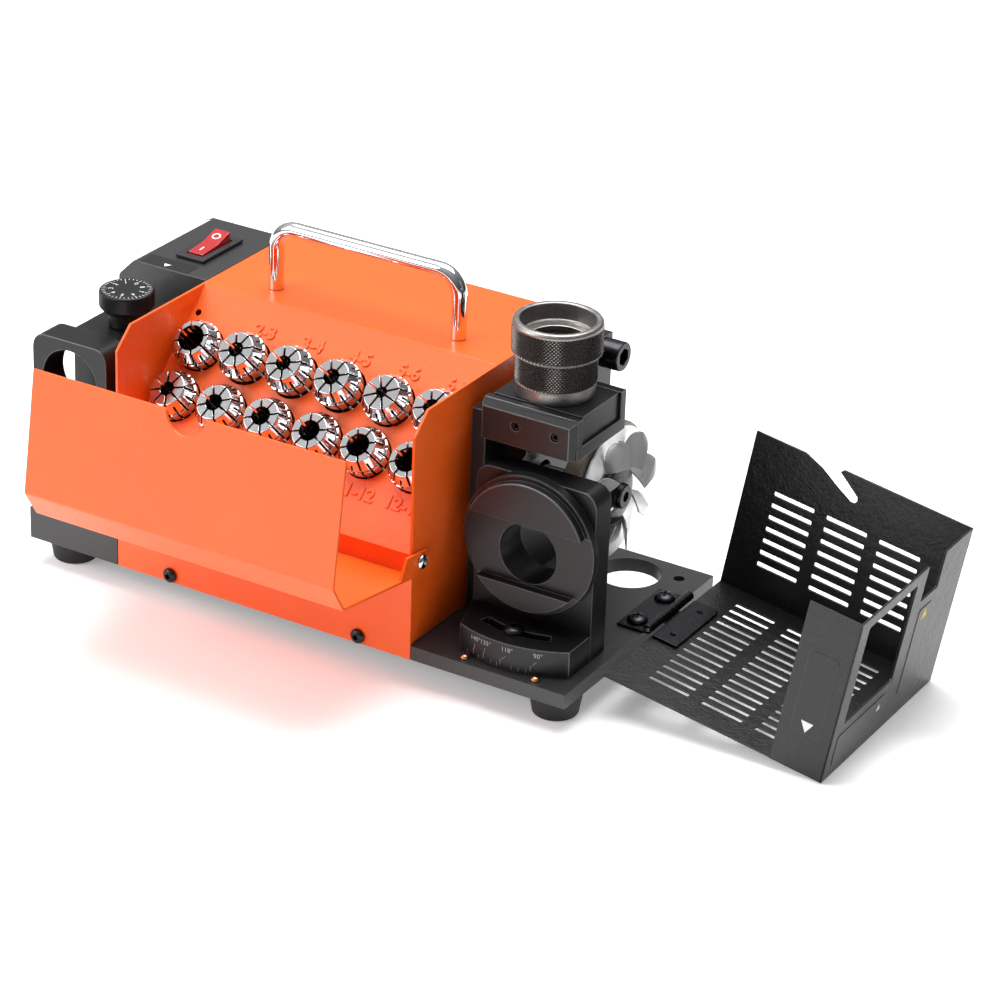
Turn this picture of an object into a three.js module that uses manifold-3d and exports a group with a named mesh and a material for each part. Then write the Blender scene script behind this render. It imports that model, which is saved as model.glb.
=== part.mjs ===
// Bench drill bit sharpener: orange case with twelve collets under a storage lid, a setting
// station on the left, two grinding stations on the right and a hinged swarf guard.
// Working frame: X along the machine (0 at the case's right side), Y to the back (0 at the
// case's front), Z up (0 under the base plate). Everything is shifted at the end so that the
// origin is the centre of the bounding box's bottom.
import * as THREE from "three";
import { mergeVertices } from "three/addons/utils/BufferGeometryUtils.js";
import Module from "manifold-3d";

const wasm = await Module();
wasm.setup();

// Driving dimensions, mm
const GAP = 0.3;
const SHEET = 1.5;
const BASE_LEFT = -232.5, BASE_RIGHT = 87.6, PLATE_DEPTH = 150.9, PLATE_TOP = 7.8;
const CASE_LEFT = -176.5, CASE_DEPTH = 153.8, CASE_TOP = 130.6;
const CHEEK_FRONT_TOP = 120, CHEEK_CHAMFER = 12;
const SLOPE_TOP_Y = 75.5, SLOPE_FOOT_Z = 57.5;
const FOOT_DROP = 14;
const COLLET_PITCH_X = 28.6, COLLET_FIRST_X = -160, COLLET_ROWS = { upper: 70.8, lower: 41.8 };
const COLLET_HOLE_R = 12.6, COLLET_TAPER = Math.tan(8 * Math.PI / 180);
const LID_PIVOT = { y: 5.5, z: 52.6 }, LID_OPEN_DEG = 81.5;
const HANDLE_LEFT = -142.1, HANDLE_RIGHT = -32.8, HANDLE_Y = 91.8, HANDLE_R = 4, HANDLE_TOP = 169;
const WHEEL_AXIS = { y: 107, z: 62 }, WHEEL_R = 37, WHEEL_BACK = 37, WHEEL_FRONT = 49.5;
const SWIVEL = { x: 47.5, y: 68 }, SWIVEL_FRONT_R = 62.7, SWIVEL_SLOT_R = 49.5;
const SWIVEL_THICK = 14.2, BRACKET_FRONT = 35, BRACKET_BACK = 49.6, BRACKET_TOP = 98;
const DISC_Z = 64.6, CHUCK_BORE_Z = 60, CHUCK_BORE_R = 16;
const SLEEVE = { x: 36.5, y: 69 };
const WAY_TOP = 115, WAY_UNDER = 108.4, SLIDE_TOP = 129.5;
const HINGE = { x: 90.3, z: 10.6 }, HINGE_FRONT = 76, HINGE_BACK = 120, KNUCKLE_R = 2.5;
const GUARD_DROOP_DEG = 9.5, GUARD_LENGTH = 123.7, GUARD_HEIGHT = 86.5;
const GUARD_FRONT = 29.2, GUARD_BACK = 150.2, GUARD_SHEET = 1.2, GUARD_FLOOR = -2.7;
const SETTER_BORE = { x: -206.7, z: 94.6 }, DIAL = { x: -198.8, y: 40.5 };
const DEG = Math.PI / 180;

// ---- solids ----

function solidFrom(geometry) {
  const bare = geometry.index ? geometry.toNonIndexed() : geometry.clone();
  bare.deleteAttribute("normal");
  bare.deleteAttribute("uv");
  const merged = mergeVertices(bare, 1e-4);
  const triVerts = new Uint32Array(merged.index.array);
  const build = () => new wasm.Manifold(
    new wasm.Mesh({ numProp: 3, vertProperties: merged.attributes.position.array, triVerts }),
  );
  let made = build();
  if (made.volume() < 0) {
    for (let i = 0; i < triVerts.length; i += 3) {
      [triVerts[i + 1], triVerts[i + 2]] = [triVerts[i + 2], triVerts[i + 1]];
    }
    made = build();
  }
  return made;
}

function geometryFrom(solid) {
  const mesh = solid.getMesh();
  const stride = mesh.numProp;
  const positions = new Float32Array((mesh.vertProperties.length / stride) * 3);
  for (let i = 0; i < positions.length / 3; i++) {
    for (let k = 0; k < 3; k++) positions[i * 3 + k] = mesh.vertProperties[i * stride + k];
  }
  const geometry = new THREE.BufferGeometry();
  geometry.setAttribute("position", new THREE.BufferAttribute(positions, 3));
  geometry.setIndex(new THREE.BufferAttribute(new Uint32Array(mesh.triVerts), 1));
  return geometry;
}

const join = (...solids) => solids.reduce((a, b) => a.add(b));
const cut = (body, ...tools) => tools.reduce((a, b) => a.subtract(b), body);

function box(x0, x1, y0, y1, z0, z1) {
  const geometry = new THREE.BoxGeometry(x1 - x0, y1 - y0, z1 - z0);
  geometry.translate((x0 + x1) / 2, (y0 + y1) / 2, (z0 + z1) / 2);
  return solidFrom(geometry);
}

// Turns a profile of [radius, height] pairs about the given axis; at is the axis's start point.
function turned(profile, direction, at, segments = 24) {
  const points = profile.map(([r, h]) => new THREE.Vector2(r, h));
  const geometry = new THREE.LatheGeometry(points, segments);
  const turn = new THREE.Quaternion().setFromUnitVectors(
    new THREE.Vector3(0, 1, 0), new THREE.Vector3(...direction).normalize(),
  );
  geometry.applyQuaternion(turn);
  geometry.translate(...at);
  return solidFrom(geometry);
}

const rod = (radius, from, to, direction, at, segments = 24) =>
  turned([[0, from], [radius, from], [radius, to], [0, to]], direction, at, segments);

const tube = (outer, inner, from, to, direction, at, segments = 24) =>
  turned([[inner, from], [outer, from], [outer, to], [inner, to], [inner, from]],
    direction, at, segments);

function outline(points) {
  return new THREE.Shape(points.map(([a, b]) => new THREE.Vector2(a, b)));
}

// Extrudes an outline drawn in Y and Z along X.
function alongX(points, x0, x1) {
  const geometry = new THREE.ExtrudeGeometry(outline(points), { depth: x1 - x0, bevelEnabled: false });
  geometry.applyMatrix4(new THREE.Matrix4().set(0, 0, 1, x0, 1, 0, 0, 0, 0, 1, 0, 0, 0, 0, 0, 1));
  return solidFrom(geometry);
}

// Extrudes an outline drawn in X and Z along Y.
function alongY(points, y0, y1) {
  const geometry = new THREE.ExtrudeGeometry(outline(points), { depth: y1 - y0, bevelEnabled: false });
  geometry.applyMatrix4(new THREE.Matrix4().set(1, 0, 0, 0, 0, 0, -1, y1, 0, 1, 0, 0, 0, 0, 0, 1));
  return solidFrom(geometry);
}

// Extrudes an outline drawn in X and Y along Z.
function alongZ(points, z0, z1) {
  const geometry = new THREE.ExtrudeGeometry(outline(points), { depth: z1 - z0, bevelEnabled: false });
  geometry.translate(0, 0, z0);
  return solidFrom(geometry);
}

// Points of an arc about (cx, cy), angles in degrees.
function arc(cx, cy, r, from, to, steps) {
  return Array.from({ length: steps + 1 }, (_, i) => {
    const a = (from + ((to - from) * i) / steps) * DEG;
    return [cx + r * Math.cos(a), cy + r * Math.sin(a)];
  });
}

// A rectangle with every corner rounded.
function roundedBox(a0, a1, b0, b1, r, steps = 5) {
  return [
    ...arc(a1 - r, b1 - r, r, 0, 90, steps), ...arc(a0 + r, b1 - r, r, 90, 180, steps),
    ...arc(a0 + r, b0 + r, r, 180, 270, steps), ...arc(a1 - r, b0 + r, r, 270, 360, steps),
  ];
}

// A hexagonal recess for a socket-head screw.
function hexRecess(across, from, to, direction, at) {
  return turned([[0, from], [across / Math.sqrt(3), from], [across / Math.sqrt(3), to], [0, to]],
    direction, at, 6);
}

// A low round head with a hexagonal recess, on a plain shank.
function buttonScrew(headR, headH, shankR, shankL, direction, at, socket) {
  const head = turned([
    [0, -shankL], [shankR, -shankL], [shankR, 0], [headR, 0], [headR, headH * 0.25],
    [headR * 0.86, headH * 0.72], [headR * 0.6, headH], [0, headH],
  ], direction, at, 20);
  return head.subtract(hexRecess(socket, headH * 0.35, headH + 1, direction, at));
}

// ---- assembly ----

const machine = new THREE.Group();
machine.name = "drill_bit_sharpener";

const LOOKS = {
  orange: [0xf2640f, 0.45, 0.0],
  blackPaint: [0x1d1e20, 0.6, 0.1],
  blackOxide: [0x26272a, 0.42, 0.6],
  chrome: [0xd8dadd, 0.12, 1.0],
  steel: [0xc9ccd0, 0.22, 1.0],
  knurl: [0x6c655f, 0.4, 0.9],
  rubber: [0x16171a, 0.85, 0.0],
  red: [0xc8141e, 0.25, 0.0],
  aluminium: [0xc4c6c8, 0.35, 1.0],
  grit: [0x8f7f52, 0.8, 0.1],
  copper: [0xb8683c, 0.3, 1.0],
  board: [0x1f6b3a, 0.5, 0.0],
  blackScrew: [0x1b1c1e, 0.35, 0.8],
  blackPlastic: [0x17181a, 0.5, 0.0],
  motor: [0x3a3c40, 0.5, 0.6],
};

function place(name, solid, look) {
  const [color, roughness, metalness] = LOOKS[look];
  const material = new THREE.MeshStandardMaterial({ color, roughness, metalness });
  const mesh = new THREE.Mesh(geometryFrom(solid), material);
  mesh.name = name;
  machine.add(mesh);
}

// ---- case ----

const slopeRise = CASE_TOP - SLOPE_FOOT_Z;
const slopeLength = Math.hypot(SLOPE_TOP_Y, slopeRise);
const alongSlope = [0, SLOPE_TOP_Y / slopeLength, slopeRise / slopeLength];
const outOfSlope = [0, -slopeRise / slopeLength, SLOPE_TOP_Y / slopeLength];

// A point on the slope panel's face, x along the machine and s up the slope from its foot.
function onSlope(x, s) {
  return [x, s * alongSlope[1], SLOPE_FOOT_Z + s * alongSlope[2]];
}

function colletPlaces() {
  return Object.entries(COLLET_ROWS).flatMap(([row, s]) => Array.from({ length: 6 },
    (_, i) => ({ row, i, at: onSlope(COLLET_FIRST_X + i * COLLET_PITCH_X, s) })));
}

function caseCover() {
  const cheek = (x0, x1) => alongX([
    [0, PLATE_TOP + GAP], [0, CHEEK_FRONT_TOP], [CHEEK_CHAMFER, CASE_TOP],
    [CASE_DEPTH, CASE_TOP], [CASE_DEPTH, PLATE_TOP + GAP],
  ], x0, x1);
  const inner = CASE_TOP - SHEET, back = CASE_DEPTH - SHEET;
  const wrap = alongX([
    [0, 0], [SHEET, 0], [SHEET, SLOPE_FOOT_Z - 0.6], [SLOPE_TOP_Y + 0.6, inner], [back, inner],
    [back, 0], [CASE_DEPTH, 0], [CASE_DEPTH, CASE_TOP], [SLOPE_TOP_Y, CASE_TOP], [0, SLOPE_FOOT_Z],
  ], CASE_LEFT, 0);
  let cover = join(wrap, cheek(CASE_LEFT, CASE_LEFT + SHEET), cheek(-SHEET, 0));
  for (const { at } of colletPlaces()) {
    cover = cut(cover, rod(COLLET_HOLE_R, -4, 4, outOfSlope, at, 20));
  }
  cover = cut(cover, rod(1.8, -4, 4, outOfSlope, onSlope(-171.3, 89), 12));
  cover = cut(cover, rod(13, -4, 2, [1, 0, 0], [0, WHEEL_AXIS.y, WHEEL_AXIS.z]));
  for (const x of [CASE_LEFT, 0]) {
    cover = cut(cover, rod(2.4, -4, 4, [1, 0, 0], [x, LID_PIVOT.y, LID_PIVOT.z], 16));
  }
  for (const x of [-143.6, -30.2]) {
    cover = cut(cover, rod(2.3, -3, 3, [0, 1, 0], [x, 0, 4.2], 16));
  }
  place("case_cover", cover, "orange");
  [[-143.6, "left"], [-30.2, "right"]].forEach(([x, side]) => {
    place(`case_screw_${side}`,
      buttonScrew(3.9, 2.6, 1.9, 1.6, [0, -1, 0], [x, -GAP, 4.2], 2.6), "blackScrew");
  });
}

// The lid is drawn closed and then swung open about its pivots.
function opened([y, z]) {
  const a = LID_OPEN_DEG * DEG, dy = y - LID_PIVOT.y, dz = z - LID_PIVOT.z;
  return [
    LID_PIVOT.y + dy * Math.cos(a) - dz * Math.sin(a),
    LID_PIVOT.z + dy * Math.sin(a) + dz * Math.cos(a),
  ];
}

function storageLid() {
  const left = CASE_LEFT - 1.9, right = 1.9;
  const panel = alongX([
    [-0.5, 58], [-0.5, 120.7], [11.9, 131.1], [75.2, 131.1], [75.2, 132.6], [11.3, 132.6],
    [-2, 121.3], [-2, 58],
  ].map(opened), left, right);
  const ear = (x0, x1) => alongX([
    [-2, 43.5], [-1.4, 43], [6.2, 43], [10.6, 48], [10.2, 66], [-0.6, 70], [-2, 70],
  ].map(opened), x0, x1);
  let lid = join(panel, ear(left, left + SHEET), ear(right - SHEET, right));
  const notch = opened([75.2, 131.8]);
  lid = cut(lid, rod(11.5, -6, 6, [0, 1, 0],
    [(left + right) / 2, notch[0], notch[1] + 0.5], 28));
  for (const x of [left, right]) {
    lid = cut(lid, rod(2.4, -3, 3, [1, 0, 0], [x, LID_PIVOT.y, LID_PIVOT.z], 16));
  }
  place("storage_lid", lid, "orange");
  place("lid_pivot_screw_left", buttonScrew(3.8, 2.4, 2, 5, [-1, 0, 0],
    [left - GAP, LID_PIVOT.y, LID_PIVOT.z], 2.5), "chrome");
  place("lid_pivot_screw_right", buttonScrew(3.8, 2.4, 2, 5, [1, 0, 0],
    [right + GAP, LID_PIVOT.y, LID_PIVOT.z], 2.5), "chrome");
}

// Each spring collet hangs by its long 8 degree cone in its hole, so one that is a little wider
// than its neighbours stands a little higher.
function collets() {
  const bores = { upper: [7, 4, 4, 4.25, 3, 4], lower: [3.8, 4.5, 5, 5.5, 6, 6.5] };
  const stands = { upper: [0, 2.4, 2.4, 2.4, 0.6, 0.6], lower: [0, 0, 0.6, 0, 0, 0] };
  const tail = -20, shoulder = 6.2, shoulderR = 12.9, nose = 13.4;
  for (const { row, i, at } of colletPlaces()) {
    const bore = bores[row][i], stand = stands[row][i];
    const body = turned([
      [bore, tail], [shoulderR - (shoulder - tail) * COLLET_TAPER, tail], [shoulderR, shoulder],
      [11.4, shoulder + 0.3], [11.4, 7.5], [12.6, 7.9], [9.4, nose], [bore, nose], [bore, tail],
    ].map(([r, h]) => [r, h + stand]), outOfSlope, at, 16);
    place(`collet_${row}_${i + 1}`, body, "steel");
  }
}

// A path through straight pieces, one step to each piece.
class Polyline extends THREE.Curve {
  constructor(points) {
    super();
    this.points = points;
  }
  getPoint(t, target = new THREE.Vector3()) {
    const along = Math.min(t, 1) * (this.points.length - 1);
    const i = Math.min(Math.floor(along), this.points.length - 2);
    return target.lerpVectors(this.points[i], this.points[i + 1], along - i);
  }
  getPointAt(t, target) {
    return this.getPoint(t, target);
  }
  getTangentAt(t, target) {
    return this.getTangent(t, target);
  }
}

function handle() {
  const top = HANDLE_TOP - HANDLE_R, foot = CASE_TOP + GAP, bend = 12;
  const points = [
    [HANDLE_LEFT, foot], ...arc(HANDLE_LEFT + bend, top - bend, bend, 180, 90, 5),
    ...arc(HANDLE_RIGHT - bend, top - bend, bend, 90, 0, 5), [HANDLE_RIGHT, foot],
  ].map(([x, z]) => new THREE.Vector3(x, HANDLE_Y, z));
  const section = outline(arc(0, 0, HANDLE_R, 0, 360 - 22.5, 15));
  const sweep = new THREE.ExtrudeGeometry(section,
    { steps: points.length - 1, extrudePath: new Polyline(points), bevelEnabled: false });
  place("carry_handle", solidFrom(sweep), "chrome");
}

// ---- base ----

function basePlate() {
  let plate = join(
    box(BASE_LEFT + 1.8, 0.3, 1.8, 149, 0, PLATE_TOP),
    box(CASE_LEFT, 0.3, 1.8, CASE_DEPTH - 1.8, 0, PLATE_TOP),
    box(0.2, BASE_RIGHT, 0, PLATE_DEPTH, 0, PLATE_TOP),
  );
  plate = cut(plate,
    rod(16.5, -1, 9, [0, 0, 1], [50.5, 129, 0], 32),
    rod(2.8, -1, 9, [0, 0, 1], [74.5, 138, 0], 16),
    rod(2.6, -1, 9, [0, 0, 1], [SWIVEL.x, SWIVEL.y - SWIVEL_SLOT_R, 0], 16),
    rod(1.8, 2, 9, [0, 0, 1], [28.6, 4.7, 0], 12),
    rod(1.8, 2, 9, [0, 0, 1], [68.3, 4.9, 0], 12),
    rod(1.9, 2, 9, [0, 0, 1], [80.4, 84, 0], 12),
    rod(1.9, 2, 9, [0, 0, 1], [80.4, 112, 0], 12),
  );
  place("base_plate", plate, "blackPaint");
  for (const [x, side] of [[28.6, "left"], [68.3, "right"]]) {
    const y = side === "left" ? 4.7 : 4.9;
    place(`stop_pin_${side}`, turned([
      [0, 3], [1.5, 3], [1.5, 8], [2.3, 8], [2.3, 8.6], [1.6, 9.7], [0, 10.1],
    ], [0, 0, 1], [x, y, 0], 16), "copper");
  }
}

function feet() {
  const places = {
    front_left: [-217.5, 18.5], back_left: [-217.5, 132],
    front_right: [72.5, 18.5], back_right: [73.5, 106],
  };
  for (const [corner, [x, y]] of Object.entries(places)) {
    place(`foot_${corner}`, turned([
      [0, -FOOT_DROP], [10.6, -FOOT_DROP], [11.6, -FOOT_DROP + 1], [13.5, -2], [13.5, -GAP], [0, -GAP],
    ], [0, 0, 1], [x, y, 0]), "rubber");
  }
}

// ---- left end ----

function controlHousing() {
  const right = CASE_LEFT - GAP, top = CASE_TOP, back = 150.8, front = 79;
  const shell = (inset, y0, y1) => alongY([
    [BASE_LEFT + inset, -1], [BASE_LEFT + inset, top - 10 - inset * 0.42],
    [BASE_LEFT + 10 + inset * 0.42, top - inset], [right + 1, top - inset], [right + 1, -1],
  ], y0, y1);
  let housing = cut(shell(0, front, back), shell(SHEET, front + SHEET, back - SHEET));
  housing = cut(housing,
    box(right, right + 5, 0, 200, -10, 200), box(-300, 0, 0, 200, -10, 0),
    box(BASE_LEFT + SHEET, right + 1, front - 1, front + 5, -1, PLATE_TOP + GAP),
    box(BASE_LEFT - 1, right + 1, front - 1, front, -1, 200),
    box(-206, -191.6, 97.5, 128.5, 120, 140));
  place("control_housing", housing, "blackPaint");
  const frontBox = cut(
    box(BASE_LEFT, right, 0, front - GAP, 0, 17.5),
    box(BASE_LEFT + SHEET, right + 5, SHEET, front + 5, -1, 17.5 - SHEET));
  place("front_box", frontBox, "blackPaint");
  place("control_board", join(
    box(-226, -186, 94, 142, 10.5, 12.1), box(-222, -206, 100, 118, 12, 26),
    box(-202, -190, 120, 136, 12, 32), box(-222, -212, 124, 138, 12, 20)), "board");
}

function rockerSwitch() {
  const top = CASE_TOP;
  const body = cut(join(
    box(-207.6, -189.8, 94.9, 131, top + GAP, top + 2),
    box(-205.6, -192, 97.9, 128.1, top - 20, top + 1)),
  box(-204, -193.6, 99.2, 126.8, top - 12, top + 5));
  place("switch_body", body, "blackPlastic");
  const rocker = alongX([
    [100.6, top + 2.4], [112.9, top + 3.4], [125.2, top + 7], [125.4, top + 1.6],
    [119, top - 5], [107, top - 5], [100.6, top - 1],
  ], -203.5, -194.1);
  place("switch_rocker", rocker, "red");
}

function settingStation() {
  const front = 2, back = 19, half = 22.9, base = 17.5 + GAP, top = 116.4;
  const { x, z } = SETTER_BORE;
  const face = [
    ...arc(x + half - 7.5, top - 7.5, 7.5, 0, 90, 5), ...arc(x - half + 7.5, top - 7.5, 7.5, 90, 180, 5),
    [x - half, base], [x + half, base],
  ];
  let block = join(alongY(face, front, back),
    box(-218, x + half, back - 1, 62, 104, top - 2),
    box(x - half, x + half, 36, 62, base, 105));
  block = cut(block, rod(16.6, 0, 20, [0, 1, 0], [x, 0, z], 32),
    rod(6.4, 88, 130, [0, 0, 1], [DIAL.x, DIAL.y, 0], 20));
  place("setting_block", block, "blackOxide");
  place("setting_dial", turned([
    [0, 90], [6, 90], [6, 114.8], [9.4, 114.8], [9.4, 122.4], [12, 122.6], [14.3, 125.6],
    [14.3, 133.2], [13.7, 133.8], [0, 133.8],
  ], [0, 0, 1], [DIAL.x, DIAL.y, 0], 28), "blackOxide");
  place("setting_clamp_screw", turned([[0, 0], [4.6, 0], [4.6, 2.4], [3.8, 3], [0, 3]],
    [-1, 0, 0], [x - half - GAP, 10, 56], 20), "blackScrew");
}

// ---- drive ----

function drive() {
  const { y, z } = WHEEL_AXIS;
  const axis = [1, 0, 0], at = [0, y, z];
  place("motor", turned([
    [0, -150], [31, -150], [35, -146], [35, -4], [11, -4], [11, 2.1], [0, 2.1],
  ], axis, at, 32), "motor");
  let plate = alongX([
    [48, PLATE_TOP + GAP], [48, 119], [148, 119], [148, PLATE_TOP + GAP],
  ], 2.4, 10.4);
  plate = cut(plate, rod(7, 0, 12, axis, at));
  place("motor_plate", plate, "blackOxide");
  place("spindle", rod(5, 2.4, 54, axis, at, 20), "steel");
  place("grinding_wheel", turned([
    [5.3, WHEEL_BACK], [26, WHEEL_BACK], [29, WHEEL_BACK + 2], [WHEEL_R, WHEEL_BACK + 2],
    [WHEEL_R, WHEEL_FRONT - 1.5], [34, WHEEL_FRONT], [5.3, WHEEL_FRONT], [5.3, WHEEL_BACK],
  ], axis, at, 30), "grit");
  let fan = tube(35.3, 5.3, 49.8, 50.9, axis, at, 32);
  for (let i = 0; i < 8; i++) {
    const a = i * 45 + 10;
    const blade = alongX(roundedBox(18, 33.5, -0.6, 0.6, 0.5, 1), 50.5, 60);
    const corner = cut(blade, box(0, 100, 27, 40, 57, 70));
    fan = join(fan, corner.rotate([a, 0, 0]).translate([0, y, z]));
  }
  place("fan_disc", fan, "aluminium");
  place("hub_nut", cut(turned([
    [5.3, 51.2], [15.5, 51.2], [16, 52], [14, 54], [6.5, 54.8], [6.5, 58], [0, 58], [0, 54.4],
    [5.3, 54.4], [5.3, 51.2],
  ], axis, at, 24), hexRecess(5, 55.6, 60, axis, at)), "blackScrew");
}

// ---- point angle station ----

function angleStation() {
  const floor = PLATE_TOP + GAP, { x, y } = SWIVEL;
  const from = 270 - 24.3, to = 270 + 32.3;
  const foot = alongZ([
    [14, BRACKET_FRONT - GAP], ...arc(x, y, SWIVEL_FRONT_R, from, to, 12),
    [81, BRACKET_FRONT - GAP],
  ], floor, floor + SWIVEL_THICK);
  const slot = alongZ([
    ...arc(x, y, SWIVEL_SLOT_R + 2.6, 248, 292, 10), ...arc(x, y, SWIVEL_SLOT_R - 2.6, 292, 248, 10),
  ], 0, 40);
  place("swivel_base", cut(foot, slot), "blackOxide");
  place("angle_lock_screw", buttonScrew(5.2, 3.2, 2.2, 20.5, [0, 0, 1],
    [x, y - SWIVEL_SLOT_R, floor + SWIVEL_THICK + GAP], 3), "blackScrew");
  const plate = alongY([
    [14, floor], [14, BRACKET_TOP - 8], ...arc(22, BRACKET_TOP - 8, 8, 180, 90, 5),
    ...arc(73, BRACKET_TOP - 8, 8, 90, 0, 5), [81, floor],
  ], BRACKET_FRONT, BRACKET_BACK);
  place("swivel_bracket", cut(plate, rod(24.4, 30, 55, [0, 1, 0], [x, 0, DISC_Z], 40)), "blackOxide");
  let disc = turned([
    [0, 24.4], [33.2, 24.4], [33.7, 24.9], [33.7, 29], [36.4, 29], [36.4, 34.5], [24, 34.5], [24, 49.3],
    [0, 49.3],
  ], [0, 1, 0], [x, 0, DISC_Z], 40);
  disc = cut(disc,
    rod(CHUCK_BORE_R, 20, 60, [0, 1, 0], [x, 0, CHUCK_BORE_Z], 32),
    box(x - 40, x + 40, 20, 29.4, CHUCK_BORE_Z - 16.9, CHUCK_BORE_Z + 16.9));
  place("angle_disc", disc, "blackOxide");
}

// ---- web thinning station ----

function webStation() {
  const { x, y } = SLEEVE, left = 12, right = 64.7, front = 40, back = 89.5;
  let way = join(
    box(left, right, front + 3, back, WAY_UNDER, WAY_TOP),
    box(left, right, 84.6, back, WAY_TOP - 1, SLIDE_TOP),
    box(left, 44, back - 1, 111, WAY_UNDER, WAY_TOP),
    box(32, 44, 95, 111, WAY_TOP - 1, 147));
  way = cut(way, rod(13.5, 90, 120, [0, 0, 1], [x, y, 0]),
    rod(3.3, 20, 50, [1, 0, 0], [0, 103, 139], 16));
  place("web_way", way, "blackOxide");
  const web = alongY([
    [10.7, 78], [15, 78], [27, 98], [27, WAY_UNDER - GAP], [10.7, WAY_UNDER - GAP],
  ], 66, 111);
  place("web_bracket", cut(web, rod(13.5, 90, 120, [0, 0, 1], [x, y, 0])), "blackOxide");
  const jaw = alongX([
    [front, WAY_UNDER + GAP], [front, SLIDE_TOP - 3.6], [front + 3.6, SLIDE_TOP], [47.6, SLIDE_TOP],
    [47.6, WAY_TOP + GAP], [front + 2.7, WAY_TOP + GAP], [front + 2.7, WAY_UNDER + GAP],
  ], left, right);
  const corners = [
    alongZ([[right - 4.5, front - 1], [right + 1, front - 1], [right + 1, front + 4.5]], 100, 140),
    alongZ([[left - 1, front - 1], [left + 2, front - 1], [left - 1, front + 2]], 100, 140),
  ];
  const screws = { left: 31.6, right: 53.6 };
  const hole = (sx) => rod(2.5, front - 2, 50, [0, 1, 0], [sx, 0, 119.5], 16);
  place("web_jaw", cut(jaw, ...corners, ...Object.values(screws).map(hole)), "blackOxide");
  for (const [side, sx] of Object.entries(screws)) {
    place(`jaw_screw_${side}`, cut(rod(2.2, front + 0.6, 47.4, [0, 1, 0], [sx, 0, 119.5], 16),
      hexRecess(2, front, front + 3, [0, 1, 0], [sx, 0, 119.5])), "steel");
  }
  const slide = cut(
    box(left + 1.4, right - 1.4, 47.9, 84.3, WAY_TOP + GAP, SLIDE_TOP - 0.2),
    rod(13.5, 100, 140, [0, 0, 1], [x, y, 0]),
    box(0, 100, 47, 49.6, SLIDE_TOP - 2, SLIDE_TOP + 2));
  place("web_slide", slide, "blackOxide");
  const collar = cut(turned([
    [13.5, SLIDE_TOP + 0.1], [19.8, SLIDE_TOP + 0.1], [19.8, 135.4], [20.3, 135.7], [20.3, 150.5],
    [16, 150.5], [16, 154.5], [13.5, 154.5], [13.5, SLIDE_TOP + 0.1],
  ], [0, 0, 1], [x, y, 0], 28), box(x - 30, x + 30, y - 30, y - 18.6, 120, 135.4));
  place("web_collar", collar, "knurl");
  place("web_sleeve", turned([
    [16.4, 150.8], [22, 150.8], [22.5, 151.3], [22.5, 166.4], [21.6, 167.4], [18.9, 167.4],
    [18.4, 166.9], [18.4, 158.4], [15.6, 157.6], [13.5, 157.6], [13.5, 154.9], [16.4, 154.9],
    [16.4, 150.8],
  ], [0, 0, 1], [x, y, 0], 28), "knurl");
  place("web_stop_screw", cut(turned([
    [0, 26], [3, 26], [3, 44.3], [7.5, 44.3], [7.5, 54.4], [6.9, 55], [0, 55],
  ], [1, 0, 0], [0, 103, 139], 24), hexRecess(8, 48, 60, [1, 0, 0], [0, 103, 139])), "blackScrew");
}

// ---- swarf guard and its hinge, drawn with x away from the hinge pin and z square to the floor ----

function drooped(solid) {
  return solid.rotate([0, GUARD_DROOP_DEG, 0]).translate([HINGE.x, 0, HINGE.z]);
}

function guard() {
  const t = GUARD_SHEET, floor = GUARD_FLOOR - t, end = GUARD_LENGTH, top = GUARD_HEIGHT;
  const near = 2.6, innerBack = GUARD_BACK - t;
  let body = join(
    box(near, end, GUARD_FRONT, GUARD_BACK, floor, GUARD_FLOOR),
    box(end - t, end, GUARD_FRONT, GUARD_BACK, floor, top),
    box(95.4, end, GUARD_FRONT, GUARD_FRONT + t, floor, top),
    alongY([
      [near, floor], [end, floor], [end, top], [52.4, top], [50.7, 84.8], [62.4, 75.6], [62.9, 73.4],
      [61.6, 71.5], [59.4, 71.2], [50.4, 76.2], [41, 82.2], [30.6, top], [near, top],
    ], innerBack, GUARD_BACK));
  const slots = [];
  for (let column = 0; column < 3; column++) {
    const a = 19.6 + column * 29.8;
    for (let row = 0; row < 7; row++) {
      const z = 15.8 + row * 6.95;
      slots.push(box(a, a + 22.8, innerBack - 2, GUARD_BACK + 2, z - 1.35, z + 1.35));
    }
    for (let row = 0; row < 14; row++) {
      const y = 45.4 + row * 6.9;
      slots.push(box(a, a + 22.3, y - 0.9, y + 0.9, floor - 2, GUARD_FLOOR + 2));
    }
  }
  body = cut(body, ...slots,
    box(end - 5, end + 5, 39.5, 91, 25.5, 80.2),
    box(end - 5, end + 5, 101, 120, 66, 100),
    rod(1.6, -10, 10, [0, 0, 1], [10.7, 84, 0], 12), rod(1.6, -10, 10, [0, 0, 1], [10.7, 112, 0], 12));
  place("guard", drooped(body), "blackPaint");
}

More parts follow.
